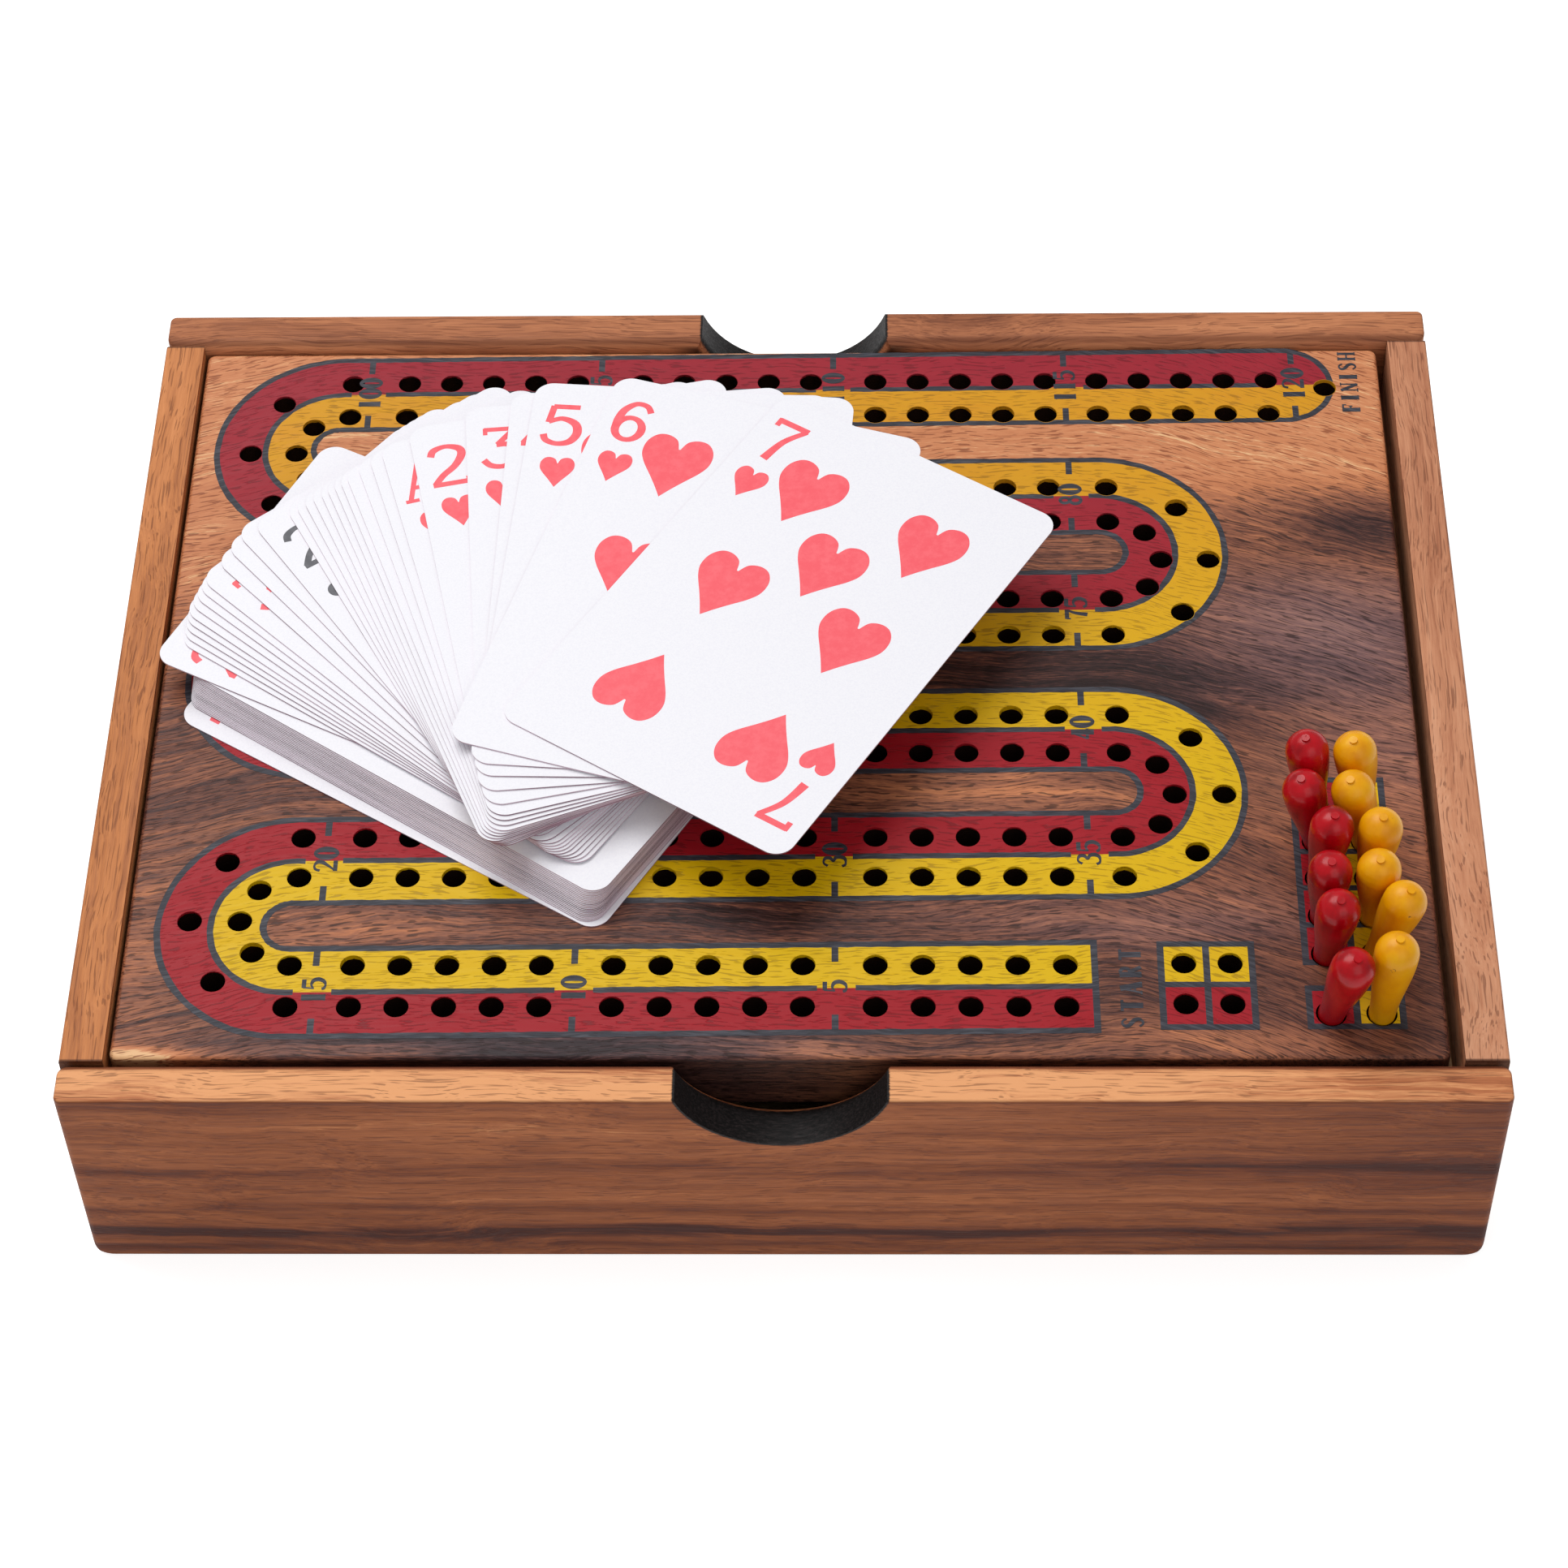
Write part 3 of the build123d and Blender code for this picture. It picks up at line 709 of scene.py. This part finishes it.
# Each glyph stands on y 0 and is 100 high here. Its middle is x 0.
THICK = 29
THIN = 15
BOLD = {
    "0": ring(0, 50, 20, 45.5, THICK, THIN),
    "1": bars((0, 2, 0, 98, THICK), (-16, 4, 16, 4, 8), (-15, 86, 0, 95, 9)),
    "2": stroke((-24, 72, 13), (-17, 90, 12), (2, 95.5, 9), (20, 83, 18), (20, 66, 20), (2, 40, 13),
                (-22, 12, 8)) + bars((-27, 9, 27, 9, 18)),
    "3": stroke((-22, 78, 13), (-12, 92, 10), (2, 95.5, 9), (18, 86, 17), (17, 68, 17), (-2, 55, 8))
    + stroke((-2, 55, 8), (19, 46, 17), (24, 27, 20), (14, 9, 16), (-4, 4.5, 9), (-18, 8, 12),
             (-25, 20, 14)),
    "4": bars((10, 2, 10, 98, THICK), (-28, 30, 28, 30, 13), (-26, 30, 6, 96, 9)),
    "5": bars((-18, 91, 24, 91, 18), (-17, 94, -21, 50, 8))
    + stroke((-21, 52, 8), (-3, 61, 10), (18, 53, 18), (24, 32, 20), (13, 11, 16), (-5, 4.5, 9),
             (-20, 10, 14), (-23, 19, 14)),
    "6": ring(2, 31, 20, 26.5, 19, THIN)
    + stroke((21, 93, 8), (2, 85, 12), (-14, 66, 18), (-19, 40, 20)),
    "7": bars((-26, 90, 27, 90, 18), (-23, 93, -25, 74, 8))
    + stroke((24, 88, 10), (8, 55, 16), (-2, 2, 22)),
    "8": ring(0, 74, 16, 20.5, 17, THIN) + ring(0, 28, 20, 24, 19, THIN),
    "9": ring(-2, 69, 20, 26.5, 19, THIN)
    + stroke((-21, 7, 8), (-2, 15, 12), (14, 34, 18), (19, 60, 20)),
    "S": stroke((20, 76, 10), (10, 92, 10), (-6, 95, 10), (-19, 82, 16), (-12, 63, 19), (10, 46, 20),
                (19, 26, 18), (10, 8, 12), (-6, 5, 10), (-20, 20, 10)),
    "T": bars((0, 2, 0, 96, THICK), (-30, 93, 30, 93, 13), (-14, 4, 14, 4, 8)),
    "A": bars((-24, 2, 0, 98, 9), (22, 2, 0, 98, THICK), (-14, 33, 14, 33, 8), (-34, 4, -12, 4, 7),
              (8, 4, 36, 4, 7)),
    "R": bars((-17, 2, -17, 98, THICK)) + ring(0, 73, 17, 21, 17, THIN)
    + bars((0, 50, 24, 3, 18), (-30, 4, -4, 4, 7)),
    "F": bars((-14, 2, -14, 98, THICK), (-26, 94, 26, 94, 10), (-12, 52, 14, 52, 9), (-28, 4, 2, 4, 8),
              (24, 96, 24, 76, 8), (14, 62, 14, 42, 7)),
    "I": bars((0, 2, 0, 98, THICK), (-16, 4, 16, 4, 8), (-16, 96, 16, 96, 8)),
    "N": bars((-22, 2, -22, 98, 9), (-24, 96, 22, 6, 20), (23, 2, 23, 98, 9), (-34, 4, -10, 4, 7),
              (12, 96, 34, 96, 7)),
    "H": bars((-20, 2, -20, 98, 18), (20, 2, 20, 98, 18), (-20, 50, 20, 50, 9), (-32, 4, -8, 4, 7),
              (8, 4, 32, 4, 7), (-32, 96, -8, 96, 7), (8, 96, 32, 96, 7)),
}
PEN = 13
CARD_GLYPHS = {
    "A": bars((-33, 5, -2, 97, 9), (31, 5, 0, 97, 15), (-20, 34, 20, 34, 9), (-42, 4, -18, 4, 8),
              (17, 4, 42, 4, 8)),
    "2": stroke((-29, 74, PEN), (-22, 88, PEN), (0, 94.5, 10), (22, 86, 14), (25, 70, 15), (10, 46, 13),
                (-14, 26, 12), (-30, 6, 12)) + bars((-34, 5.5, 32, 5.5, 11), (29, 1, 29, 17, 8)),
    "3": bars((-27, 94.5, 27, 94.5, 10), (-25, 98, -25, 82, 8), (25, 92, -4, 58, 11))
    + stroke((-6, 57, 11), (14, 57, 12), (28, 40, 15), (26, 18, 15), (6, 5.5, 11), (-16, 8, 12),
             (-29, 22, PEN)),
    "4": bars((13, 2, 13, 98, 14), (-34, 28, 34, 28, 10), (-31, 30, 11, 96, 10)),
    "5": bars((-20, 94.5, 27, 94.5, 11), (-19, 96, -25, 56, 12))
    + stroke((-25, 57, 10), (-2, 66, 11), (22, 55, 15), (28, 33, 16), (17, 12, 14), (-5, 5.5, 11),
             (-25, 13, 12), (-31, 27, PEN)),
    "6": ring(0, 32, 23.5, 26.5, 15, 11)
    + stroke((27, 78, 12), (16, 92, 11), (-4, 93, 11), (-20, 74, 14), (-24.5, 50, 15), (-23.5, 30, 14)),
    "7": bars((-30, 94, 30, 94, 12), (-28, 99, -28, 80, 10))
    + stroke((27, 93, 10), (4, 52, 12), (-5, 1, 16)),
}


def lay(outlines, x, y, height, turn):
    """Outlines of unit height moved to a place, turned by degrees and made height high."""
    c, s = cos(radians(turn)), sin(radians(turn))
    return [[(x + height * (c * px - s * (py - 0.5)), y + height * (s * px + c * (py - 0.5)))
             for px, py in outline] for outline in outlines]


def word(text, x, y, height, pitch, turn):
    """Bold letters in a row, centred on a place."""
    shapes = []
    for index, letter in enumerate(text):
        step = (index - (len(text) - 1) / 2) * pitch
        place_x = x + step * cos(radians(turn))
        place_y = y + step * sin(radians(turn))
        shapes += lay(BOLD[letter], place_x, place_y, height, turn)
    return shapes


# ---------------------------------------------------------------- the painted board


def printed(x, y):
    """A place of the straight print as it lies on the board."""
    turn = radians(PRINT_TURN)
    dx, dy = x - PRINT_PIVOT[0], y
    return (PRINT_PIVOT[0] + dx * cos(turn) - dy * sin(turn),
            PRINT_PIVOT[1] + dx * sin(turn) + dy * cos(turn))


def print_all(outlines):
    return [[printed(x, y) for x, y in outline] for outline in outlines]


def track_path():
    """The middle line of the printed track, from the start to the finish. Y counts from run 1."""
    path = []
    radius = PRINT_PITCH / 2
    for run in range(RUNS):
        leftward = run % 2 == 0
        begin = MARKS_X[0] if run == 0 else (PRINT_RIGHT_X if leftward else PRINT_LEFT_X)
        end = PRINT_END_X if run == RUNS - 1 else (PRINT_LEFT_X if leftward else PRINT_RIGHT_X)
        count = ceil(abs(end - begin) / PATH_STEP)
        path += [(begin + (end - begin) * i / count, run * PRINT_PITCH) for i in range(count + 1)]
        if run < RUNS - 1:
            centre_y = run * PRINT_PITCH + radius
            for i in range(1, TURN_STEPS):
                turn = -pi / 2 + pi * i / TURN_STEPS
                side = -1 if leftward else 1
                path.append((end + side * radius * cos(turn), centre_y + radius * sin(turn)))
    return path


def ragged(count, middle, width, amount=0.07):
    """The two edges of a hand printed line, as offsets that waver a little."""
    low = [middle - width / 2 + dice.uniform(-amount, amount) for _ in range(count)]
    high = [middle + width / 2 + dice.uniform(-amount, amount) for _ in range(count)]
    return low, high


def hole_places():
    """The track holes, those at the start and the one at the finish, as (x, y, lane's colour)."""
    places = [(*FINISH_HOLE, "yellow")]
    places += [(x, y, name) for x in START_HOLES_X for y, name in zip(START_HOLES_Y, ("red", "yellow"))]
    for run in range(RUNS):
        y = FIRST_RUN_Y + run * RUN_PITCH
        leftward = run % 2 == 0
        lower, upper = ("red", "yellow") if leftward else ("yellow", "red")
        columns = [FIRST_HOLE_X - group * GROUP_PITCH - hole * HOLE_PITCH
                   for group in range(RUN_GROUPS) for hole in range(GROUP_HOLES)]
        if run == RUNS - 1:
            columns += [LAST_GROUP_X + hole * HOLE_PITCH for hole in range(GROUP_HOLES)]
        places += [(x, y + offset, name) for x in columns
                   for offset, name in ((-LANE_OFFSET, lower), (LANE_OFFSET, upper))]
        if run < RUNS - 1:
            centre_x, outward = (LEFT_TURN_X, -1) if leftward else (RIGHT_TURN_X, 1)
            centre_y = y + RUN_PITCH / 2
            for offset, name in ((-LANE_OFFSET, upper), (LANE_OFFSET, lower)):
                radius = RUN_PITCH / 2 + offset
                for step in range(GROUP_HOLES):
                    turn = radians(-90 + step * 45)
                    places.append((centre_x + outward * radius * cos(turn),
                                   centre_y + radius * sin(turn), name))
    return places


def marks():
    """Every printed mark as (x, run, number). The first has no number and isn't among them."""
    places = []
    for run in range(RUNS):
        places += [(x, run) for x in (MARKS_X if run % 2 == 0 else reversed(MARKS_X))]
    places = places[1:] + [(LAST_MARK_X, RUNS - 1)]
    return [(x, run, 5 * (index + 1)) for index, (x, run) in enumerate(places)]


def track_layers():
    """The lanes and lines of the track in the print's own frame: red, yellow and lines."""
    path = track_path()
    count = len(path)
    red = band(path, 0.0, PRINT_LANE)
    yellow = band(path, -PRINT_LANE, 0.0)
    lines = []
    for middle in (-PRINT_LANE, PRINT_LANE):
        lines += band(path, *ragged(count, middle, LINE_WIDTH))
    gaps = [(x, run * PRINT_PITCH) for x, run, _ in marks()]
    for quad in band(path, *ragged(count, 0.0, LINE_WIDTH)):
        x = sum(point[0] for point in quad) / 4
        y = sum(point[1] for point in quad) / 4
        near = any(abs(y - gap_y) < 1 and abs(x - gap_x) < NUMBER_GAP / 2 for gap_x, gap_y in gaps)
        if not near and not (y > (RUNS - 1.5) * PRINT_PITCH and x > LAST_MARK_X - NUMBER_GAP / 2 - 1):
            lines.append(quad)
    end_y = (RUNS - 1) * PRINT_PITCH
    turns = [pi * i / 30 for i in range(31)]
    cap = [(PRINT_END_X + PRINT_LANE * sin(t), end_y + PRINT_LANE * cos(t)) for t in turns]
    lines += band(cap, *ragged(len(cap), 0.0, LINE_WIDTH))
    red_cap = [point for point in cap if point[1] >= end_y - 0.01] + [(PRINT_END_X, end_y)]
    yellow_cap = [point for point in cap if point[1] <= end_y + 0.01] + [(PRINT_END_X, end_y)]
    red.append(red_cap)
    yellow.append(yellow_cap)
    half = LINE_WIDTH / 2
    for x, run, _ in marks():
        for side in (-1, 1):
            y = run * PRINT_PITCH + side * (PRINT_LANE - 0.2)
            lines.append(rectangle(x - half, x + half, *sorted((y, y - side * TICK_LENGTH))))
    lines.append(rectangle(MARKS_X[0] - half, MARKS_X[0] + half, -PRINT_LANE - half, PRINT_LANE + half))
    return print_all(red), print_all(yellow), print_all(lines)


# Edges of the printed squares at the start, and of the score block
START_X = (63.6, 71.25, 78.9)
START_Y = (-74.9, -66.2, -57.8)
SCORE_X = (88.0, 95.2, 96.4, 103.4)
SCORE_TOP = -22.4
SCORE_ROW = 7.85
SCORE_LAST = (-74.8, -67.0)


def block_layers():
    """The start squares and the score block: red, yellow and lines."""
    red, yellow, lines = [], [], []
    half = LINE_WIDTH / 2
    for x0, x1 in zip(START_X, START_X[1:]):
        red.append(rectangle(x0, x1, START_Y[0], START_Y[1]))
        yellow.append(rectangle(x0, x1, START_Y[1], START_Y[2]))
    lines += [rectangle(x - half, x + half, START_Y[0] - half, START_Y[2] + half) for x in START_X]
    lines += [rectangle(START_X[0], START_X[2], y - half, y + half) for y in START_Y]
    rows = [(SCORE_TOP - (row + 1) * SCORE_ROW, SCORE_TOP - row * SCORE_ROW) for row in range(5)]
    for low, high in rows + [SCORE_LAST]:
        red.append(rectangle(SCORE_X[0], SCORE_X[1], low, high))
        yellow.append(rectangle(SCORE_X[2], SCORE_X[3], low, high))
        lines += [rectangle(SCORE_X[0] - half, SCORE_X[3] + half, y - half, y + half) for y in (low, high)]
        lines += [rectangle(x - half, x + half, low, high)
                  for x in (SCORE_X[0], (SCORE_X[1] + SCORE_X[2]) / 2, SCORE_X[3])]
    return red, yellow, lines


def painted_board(red_paint, yellow_paint, ink):
    """The paint as thin plates on the board, cut out at every hole."""
    holes = [circle(x, y, HOLE_RADIUS) for x, y, _ in hole_places()]
    holes += [circle(x, y, SCORE_HOLE_RADIUS) for x in SCORE_HOLES_X for y in SCORE_HOLES_Y]
    track, block = track_layers(), block_layers()
    red, yellow, lines = (first + second for first, second in zip(track, block))
    flat = fill([("holes", holes), ("lane_lines", lines), ("red_lanes", red), ("yellow_lanes", yellow)])
    for name, material in (("red_lanes", red_paint), ("yellow_lanes", yellow_paint), ("lane_lines", ink)):
        plate(name, flat[name], BOARD_TOP, BOARD_TOP + PRINT_HEIGHT, material, "board")
    text = []
    for x, run, number in marks():
        text += word(str(number), x, run * PRINT_PITCH + 0.3, NUMBER_HEIGHT, NUMBER_PITCH, 90)
    flat = fill([("letters", print_all(text) + word(*FINISH_WORD) + word(*START_WORD))])
    plate("lane_numbers", flat["letters"], BOARD_TOP, BOARD_TOP + DIGIT_HEIGHT, ink, "board")


COLLAR_GAP = 0.01
COLLAR_THICK = 0.06
# The least and most that each colour of paint ran down into a hole
RUN_DOWN = {"red": (0.2, 0.5), "yellow": (0.35, 1.1)}


def hole_collar(x, y, radius, depth, sides=24):
    """The paint that ran down into a hole: a thin ring inside its mouth."""
    outer, inner = radius - COLLAR_GAP, radius - COLLAR_GAP - COLLAR_THICK
    top, foot = BOARD_TOP + PRINT_HEIGHT / 2, BOARD_TOP - depth
    vertices, faces = [], []
    for side in range(sides):
        turn = 2 * pi * side / sides
        uneven = dice.uniform(-0.12, 0.12)
        for reach, height in ((outer, top), (inner, top), (inner, foot + uneven), (outer, foot + uneven)):
            vertices.append(((x + reach * cos(turn)) * MM, (y + reach * sin(turn)) * MM, height * MM))
        here, there = 4 * side, 4 * ((side + 1) % sides)
        for corner in range(4):
            after = (corner + 1) % 4
            faces.append([here + corner, here + after, there + after, there + corner])
    return vertices, faces


def hole_collars(red_paint, yellow_paint):
    """Paint inside the mouths of the track's holes, joined into one piece for each colour."""
    gathered = {"red": ([], []), "yellow": ([], [])}
    for x, y, name in hole_places():
        vertices, faces = gathered[name]
        new_vertices, new_faces = hole_collar(x, y, HOLE_RADIUS, dice.uniform(*RUN_DOWN[name]))
        start = len(vertices)
        vertices += new_vertices
        faces += [[corner + start for corner in face] for face in new_faces]
    for name, material in (("red", red_paint), ("yellow", yellow_paint)):
        vertices, faces = gathered[name]
        add_piece(f"{name}_hole_collars", vertices, faces, material, "board")


# ---------------------------------------------------------------- card prints


def card_lie(number):
    """The turn and lower left corner of one card."""
    for low, high in zip(DECK_LIE, DECK_LIE[1:]):
        if low[0] <= number <= high[0]:
            share = (number - low[0]) / (high[0] - low[0])
            return [a + share * (b - a) for a, b in zip(low[1:], high[1:])]
    raise ValueError(f"card {number} is not in the deck")


def on_card(number, along, across):
    """A place on a card: along its long side from the corner, and across from its left edge."""
    turn, corner_x, corner_y = card_lie(number)
    c, s = cos(radians(turn)), sin(radians(turn))
    return corner_x + c * along + s * across, corner_y + s * along - c * across


def heart():
    """A heart of unit height that stands on its tip."""
    half = smooth_line([(0.0, 0.0, 0), (0.10, 0.15, 0), (0.21, 0.30, 0), (0.36, 0.50, 0),
                        (0.43, 0.66, 0), (0.42, 0.84, 0), (0.33, 0.97, 0), (0.20, 1.0, 0),
                        (0.07, 0.94, 0), (0.01, 0.80, 0)])
    right = [(x, y) for x, y, _ in half]
    return [right + [(-x, y) for x, y in reversed(right[1:])]]


def diamond():
    return [[(0, 0), (0.2, 0.23), (0.38, 0.5), (0.2, 0.77), (0, 1), (-0.2, 0.77), (-0.38, 0.5),
             (-0.2, 0.23)]]


def club():
    leaves = [circle(0, 0.76, 0.235), circle(-0.25, 0.40, 0.235), circle(0.25, 0.40, 0.235)]
    return leaves + [[(-0.16, 0.0), (0.16, 0.0), (0.05, 0.2), (0.04, 0.6), (-0.04, 0.6), (-0.05, 0.2)]]


# Prints on a card, and their places from its top and left edges
PIP_HEIGHT = 15.0
SMALL_PIP_HEIGHT = 7.3
INDEX_HEIGHT = 10.4
INDEX_PLACE = (10.5, 6.1)
SMALL_PIP_PLACE = (22.2, 6.4)
COLUMN = 16.8
TOP_ROW = 19.2
THIRD_ROW = 32.4
MIDDLE_ROW = CARD_LENGTH / 2
LOW_ROW = CARD_LENGTH - TOP_ROW
# The pips of each value: how far down the card, and on which side of its middle
FOUR = [(row, side) for row in (TOP_ROW, LOW_ROW) for side in (-1, 1)]
SIX = [(row, side) for row in (TOP_ROW, MIDDLE_ROW, LOW_ROW) for side in (-1, 1)]
LAYOUTS = {
    "A": [(MIDDLE_ROW, 0)],
    "2": [(TOP_ROW, 0), (LOW_ROW, 0)],
    "3": [(TOP_ROW, 0), (MIDDLE_ROW, 0), (LOW_ROW, 0)],
    "4": FOUR,
    "5": FOUR + [(MIDDLE_ROW, 0)],
    "6": SIX,
    "7": SIX + [(THIRD_ROW, 0)],
}


def card_print(number, value, suit):
    """The outlines printed on one card: two indices and its pips."""
    turn = card_lie(number)[0] - 90
    corner = ((CARD_GLYPHS[value], *INDEX_PLACE, INDEX_HEIGHT),
              (suit(), *SMALL_PIP_PLACE, SMALL_PIP_HEIGHT))
    prints = [(shape, CARD_LENGTH - down, across, height, 0) for shape, down, across, height in corner]
    prints += [(shape, down, CARD_WIDTH - across, height, 180) for shape, down, across, height in corner]
    for down, side in LAYOUTS[value]:
        across = CARD_WIDTH / 2 + side * (CARD_WIDTH / 2 - COLUMN)
        flip = 180 if down > MIDDLE_ROW else 0
        prints.append((suit(), CARD_LENGTH - down, across, PIP_HEIGHT, flip))
    outlines = []
    for shape, along, across, height, flip in prints:
        outlines += lay(shape, *on_card(number, along, across), height, turn + flip)
    return outlines


def print_card(name, number, value, suit, ink, body):
    shapes = card_print(number, value, suit)
    top = BOARD_TOP + number * CARD_PITCH + CARD_THICK
    plate(name, fill([("ink", shapes)])["ink"], top, top + CARD_INK_HEIGHT, ink, body)


def card_prints(red, black):
    for index, value in enumerate("A23456"):
        print_card(f"print_{value}_of_hearts", 45 + index, value, heart, red, "card_deck")
    print_card("print_7_of_hearts", 51, "7", heart, red, "top_card")
    for name, number, value, suit, ink in (
            ("bottom_card", 0, "7", diamond, red),
            ("first_fan_card", 20, "2", diamond, red),
            ("fan_card_29", 29, "3", diamond, red),
            ("fan_card_30", 30, "4", diamond, red),
            ("fan_card_33", 33, "2", club, black)):
        print_card(f"print_{name}", number, value, suit, ink, "card_deck")


# ---------------------------------------------------------------- stage


def camera():
    data = bpy.data.cameras.new("camera")
    data.sensor_width = SENSOR
    data.sensor_fit = "HORIZONTAL"
    data.lens = SENSOR * FOCAL_PIXELS / PHOTO_WIDTH
    data.clip_start = 0.01
    piece = placed("camera", data)
    down, yaw, roll = (radians(angle) for angle in (CAMERA_DOWN, CAMERA_YAW, CAMERA_ROLL))
    ahead = Vector((sin(yaw) * cos(down), cos(yaw) * cos(down), -sin(down)))
    level = Vector((cos(yaw), -sin(yaw), 0.0))
    above = level.cross(ahead)
    right = cos(roll) * level + sin(roll) * above
    up = cos(roll) * above - sin(roll) * level
    turned = Matrix((right, up, -ahead)).transposed().to_4x4()
    piece.matrix_world = Matrix.Translation(Vector(CAMERA_PLACE) * MM) @ turned
    bpy.context.scene.camera = piece


def lamp(name, place, size, power, aim=(0.0, 0.0, 0.02)):
    data = bpy.data.lights.new(name, "AREA")
    data.shape = "RECTANGLE"
    data.size, data.size_y = size
    data.energy = power
    piece = placed(name, data)
    piece.location = place
    direction = Vector(aim) - Vector(place)
    piece.rotation_euler = direction.to_track_quat("-Z", "Y").to_euler()


FLOOR_REACH = 3000.0
FLOOR_DROP = 0.2
FLOOR_WHITE = (0.75, 0.75, 0.75, 1.0)
FLOOR_GLOW = 0.72
WORLD_LIGHT = 0.5


def floor():
    """A white floor that keeps the shadow and stays white to the camera and in reflections."""
    mesh = bpy.data.meshes.new("floor")
    reach = FLOOR_REACH * MM
    mesh.from_pydata([(x, y, 0.0) for x, y in rectangle(-reach, reach, -reach, reach)], [], [[0, 1, 2, 3]])
    piece = placed("floor", mesh)
    piece.location.z = -FLOOR_DROP * MM
    data = bpy.data.materials.new("floor_white")
    white = Nodes(data)
    path = white.add("ShaderNodeLightPath").outputs
    seen = white.math("MAXIMUM", path["Is Camera Ray"], path["Is Glossy Ray"])
    diffuse = white.add("ShaderNodeBsdfDiffuse")
    diffuse.inputs["Color"].default_value = FLOOR_WHITE
    glow = white.add("ShaderNodeEmission")
    white.feed(glow.inputs["Strength"], white.math("MULTIPLY", seen, FLOOR_GLOW))
    both = white.add("ShaderNodeAddShader")
    white.feed(both.inputs[0], diffuse.outputs[0])
    white.feed(both.inputs[1], glow.outputs[0])
    white.feed(white.add("ShaderNodeOutputMaterial").inputs["Surface"], both.outputs[0])
    mesh.materials.append(data)


def world():
    """White to the camera, and a plain soft light elsewhere."""
    data = bpy.data.worlds.new("world")
    bpy.context.scene.world = data
    sky = Nodes(data)
    strength = sky.add("ShaderNodeMapRange")
    sky.feed(strength.inputs["Value"], sky.add("ShaderNodeLightPath").outputs["Is Camera Ray"])
    strength.inputs["To Min"].default_value = WORLD_LIGHT
    strength.inputs["To Max"].default_value = 1.0
    background = sky.add("ShaderNodeBackground")
    sky.feed(background.inputs["Strength"], strength.outputs[0])
    sky.feed(sky.add("ShaderNodeOutputWorld").inputs["Surface"], background.outputs[0])


# ---------------------------------------------------------------- everything together


def dress(names, material):
    for name in names:
        nodes[name].data.materials.clear()
        nodes[name].data.materials.append(material)


def dress_nodes():
    front = ((70, 30, 20), (116, 60, 38), (158, 91, 56), (190, 116, 74), (240, 170, 116))
    back = ((80, 40, 28), (134, 78, 52), (176, 110, 74), (202, 132, 90), (216, 152, 108))
    left = ((96, 48, 28), (166, 100, 60), (204, 130, 78), (222, 146, 92), (234, 166, 112))
    right = ((112, 60, 40), (176, 112, 80), (206, 142, 106), (222, 162, 126), (234, 178, 144))
    bands = ((26.0, 2.6, 0.45), (14.5, 2.4, 0.40), (7.0, 3.4, 0.85), (2.5, 1.8, 0.40))
    # The front wall gets a paler top, which is painted light, and darkens towards the right
    dress(["front_wall"], wall_wood("front_wood", "X", front, 1.0, bands, 0.54, 0.14))
    dress(["back_wall"], wall_wood("back_wood", "X", back, 6.0))
    dress(["left_wall"], wall_wood("left_wood", "Y", left, 11.0))
    dress(["right_wall"], wall_wood("right_wood", "Y", right, 17.0))
    dress(["cribbage_board"], board_wood())
    inner = raw_wood("inner_wood", (206, 164, 118), (176, 130, 88), "Y")
    dress(["left_ledge", "right_ledge", "left_divider", "right_divider"], inner)
    dress(["bottom_panel"], raw_wood("panel_wood", (222, 190, 146), (196, 158, 112), "X"))
    dress(["corner_dowels"], raw_wood("dowel_wood", (226, 196, 150), (204, 170, 122), "Y"))
    red = peg_paint("red_enamel", (184, 4, 20), (140, 2, 14), (200, 16, 32), (80, 2, 10), 0.26)
    yellow = peg_paint("yellow_enamel", (242, 168, 0), (226, 146, 0), (248, 186, 14), (112, 66, 6), 0.36)
    dress([f"red_peg_{number}" for number in range(1, 7)], red)
    dress([f"yellow_peg_{number}" for number in range(1, 7)], yellow)
    hearts = ("ace", "two", "three", "four", "five", "six", "seven")
    dress(["card_stack", "lower_fan", "upper_fan"] + [f"{value}_of_hearts" for value in hearts],
          card_stock())


dress_nodes()
red_paint = lane_paint("red_paint", (160, 14, 28), (154, 36, 50), (66, 6, 14), (176, 40, 52))
yellow_paint = lane_paint("yellow_paint", (226, 184, 0), (216, 148, 30), (104, 68, 10), (220, 168, 14))
painted_board(red_paint, yellow_paint, line_ink())
hole_collars(red_paint, yellow_paint)
card_prints(card_ink("heart_ink", (250, 88, 100), (254, 104, 114)),
            card_ink("club_ink", (84, 84, 90), (104, 104, 110)))

camera()
floor()
world()
lamp("key_lamp", (-0.5, 0.6, 1.5), (1.2, 1.2), 18.5)
lamp("front_lamp", (0.6, -1.2, 1.2), (1.2, 1.2), 4)
bpy.context.scene.view_settings.view_transform = "Standard"
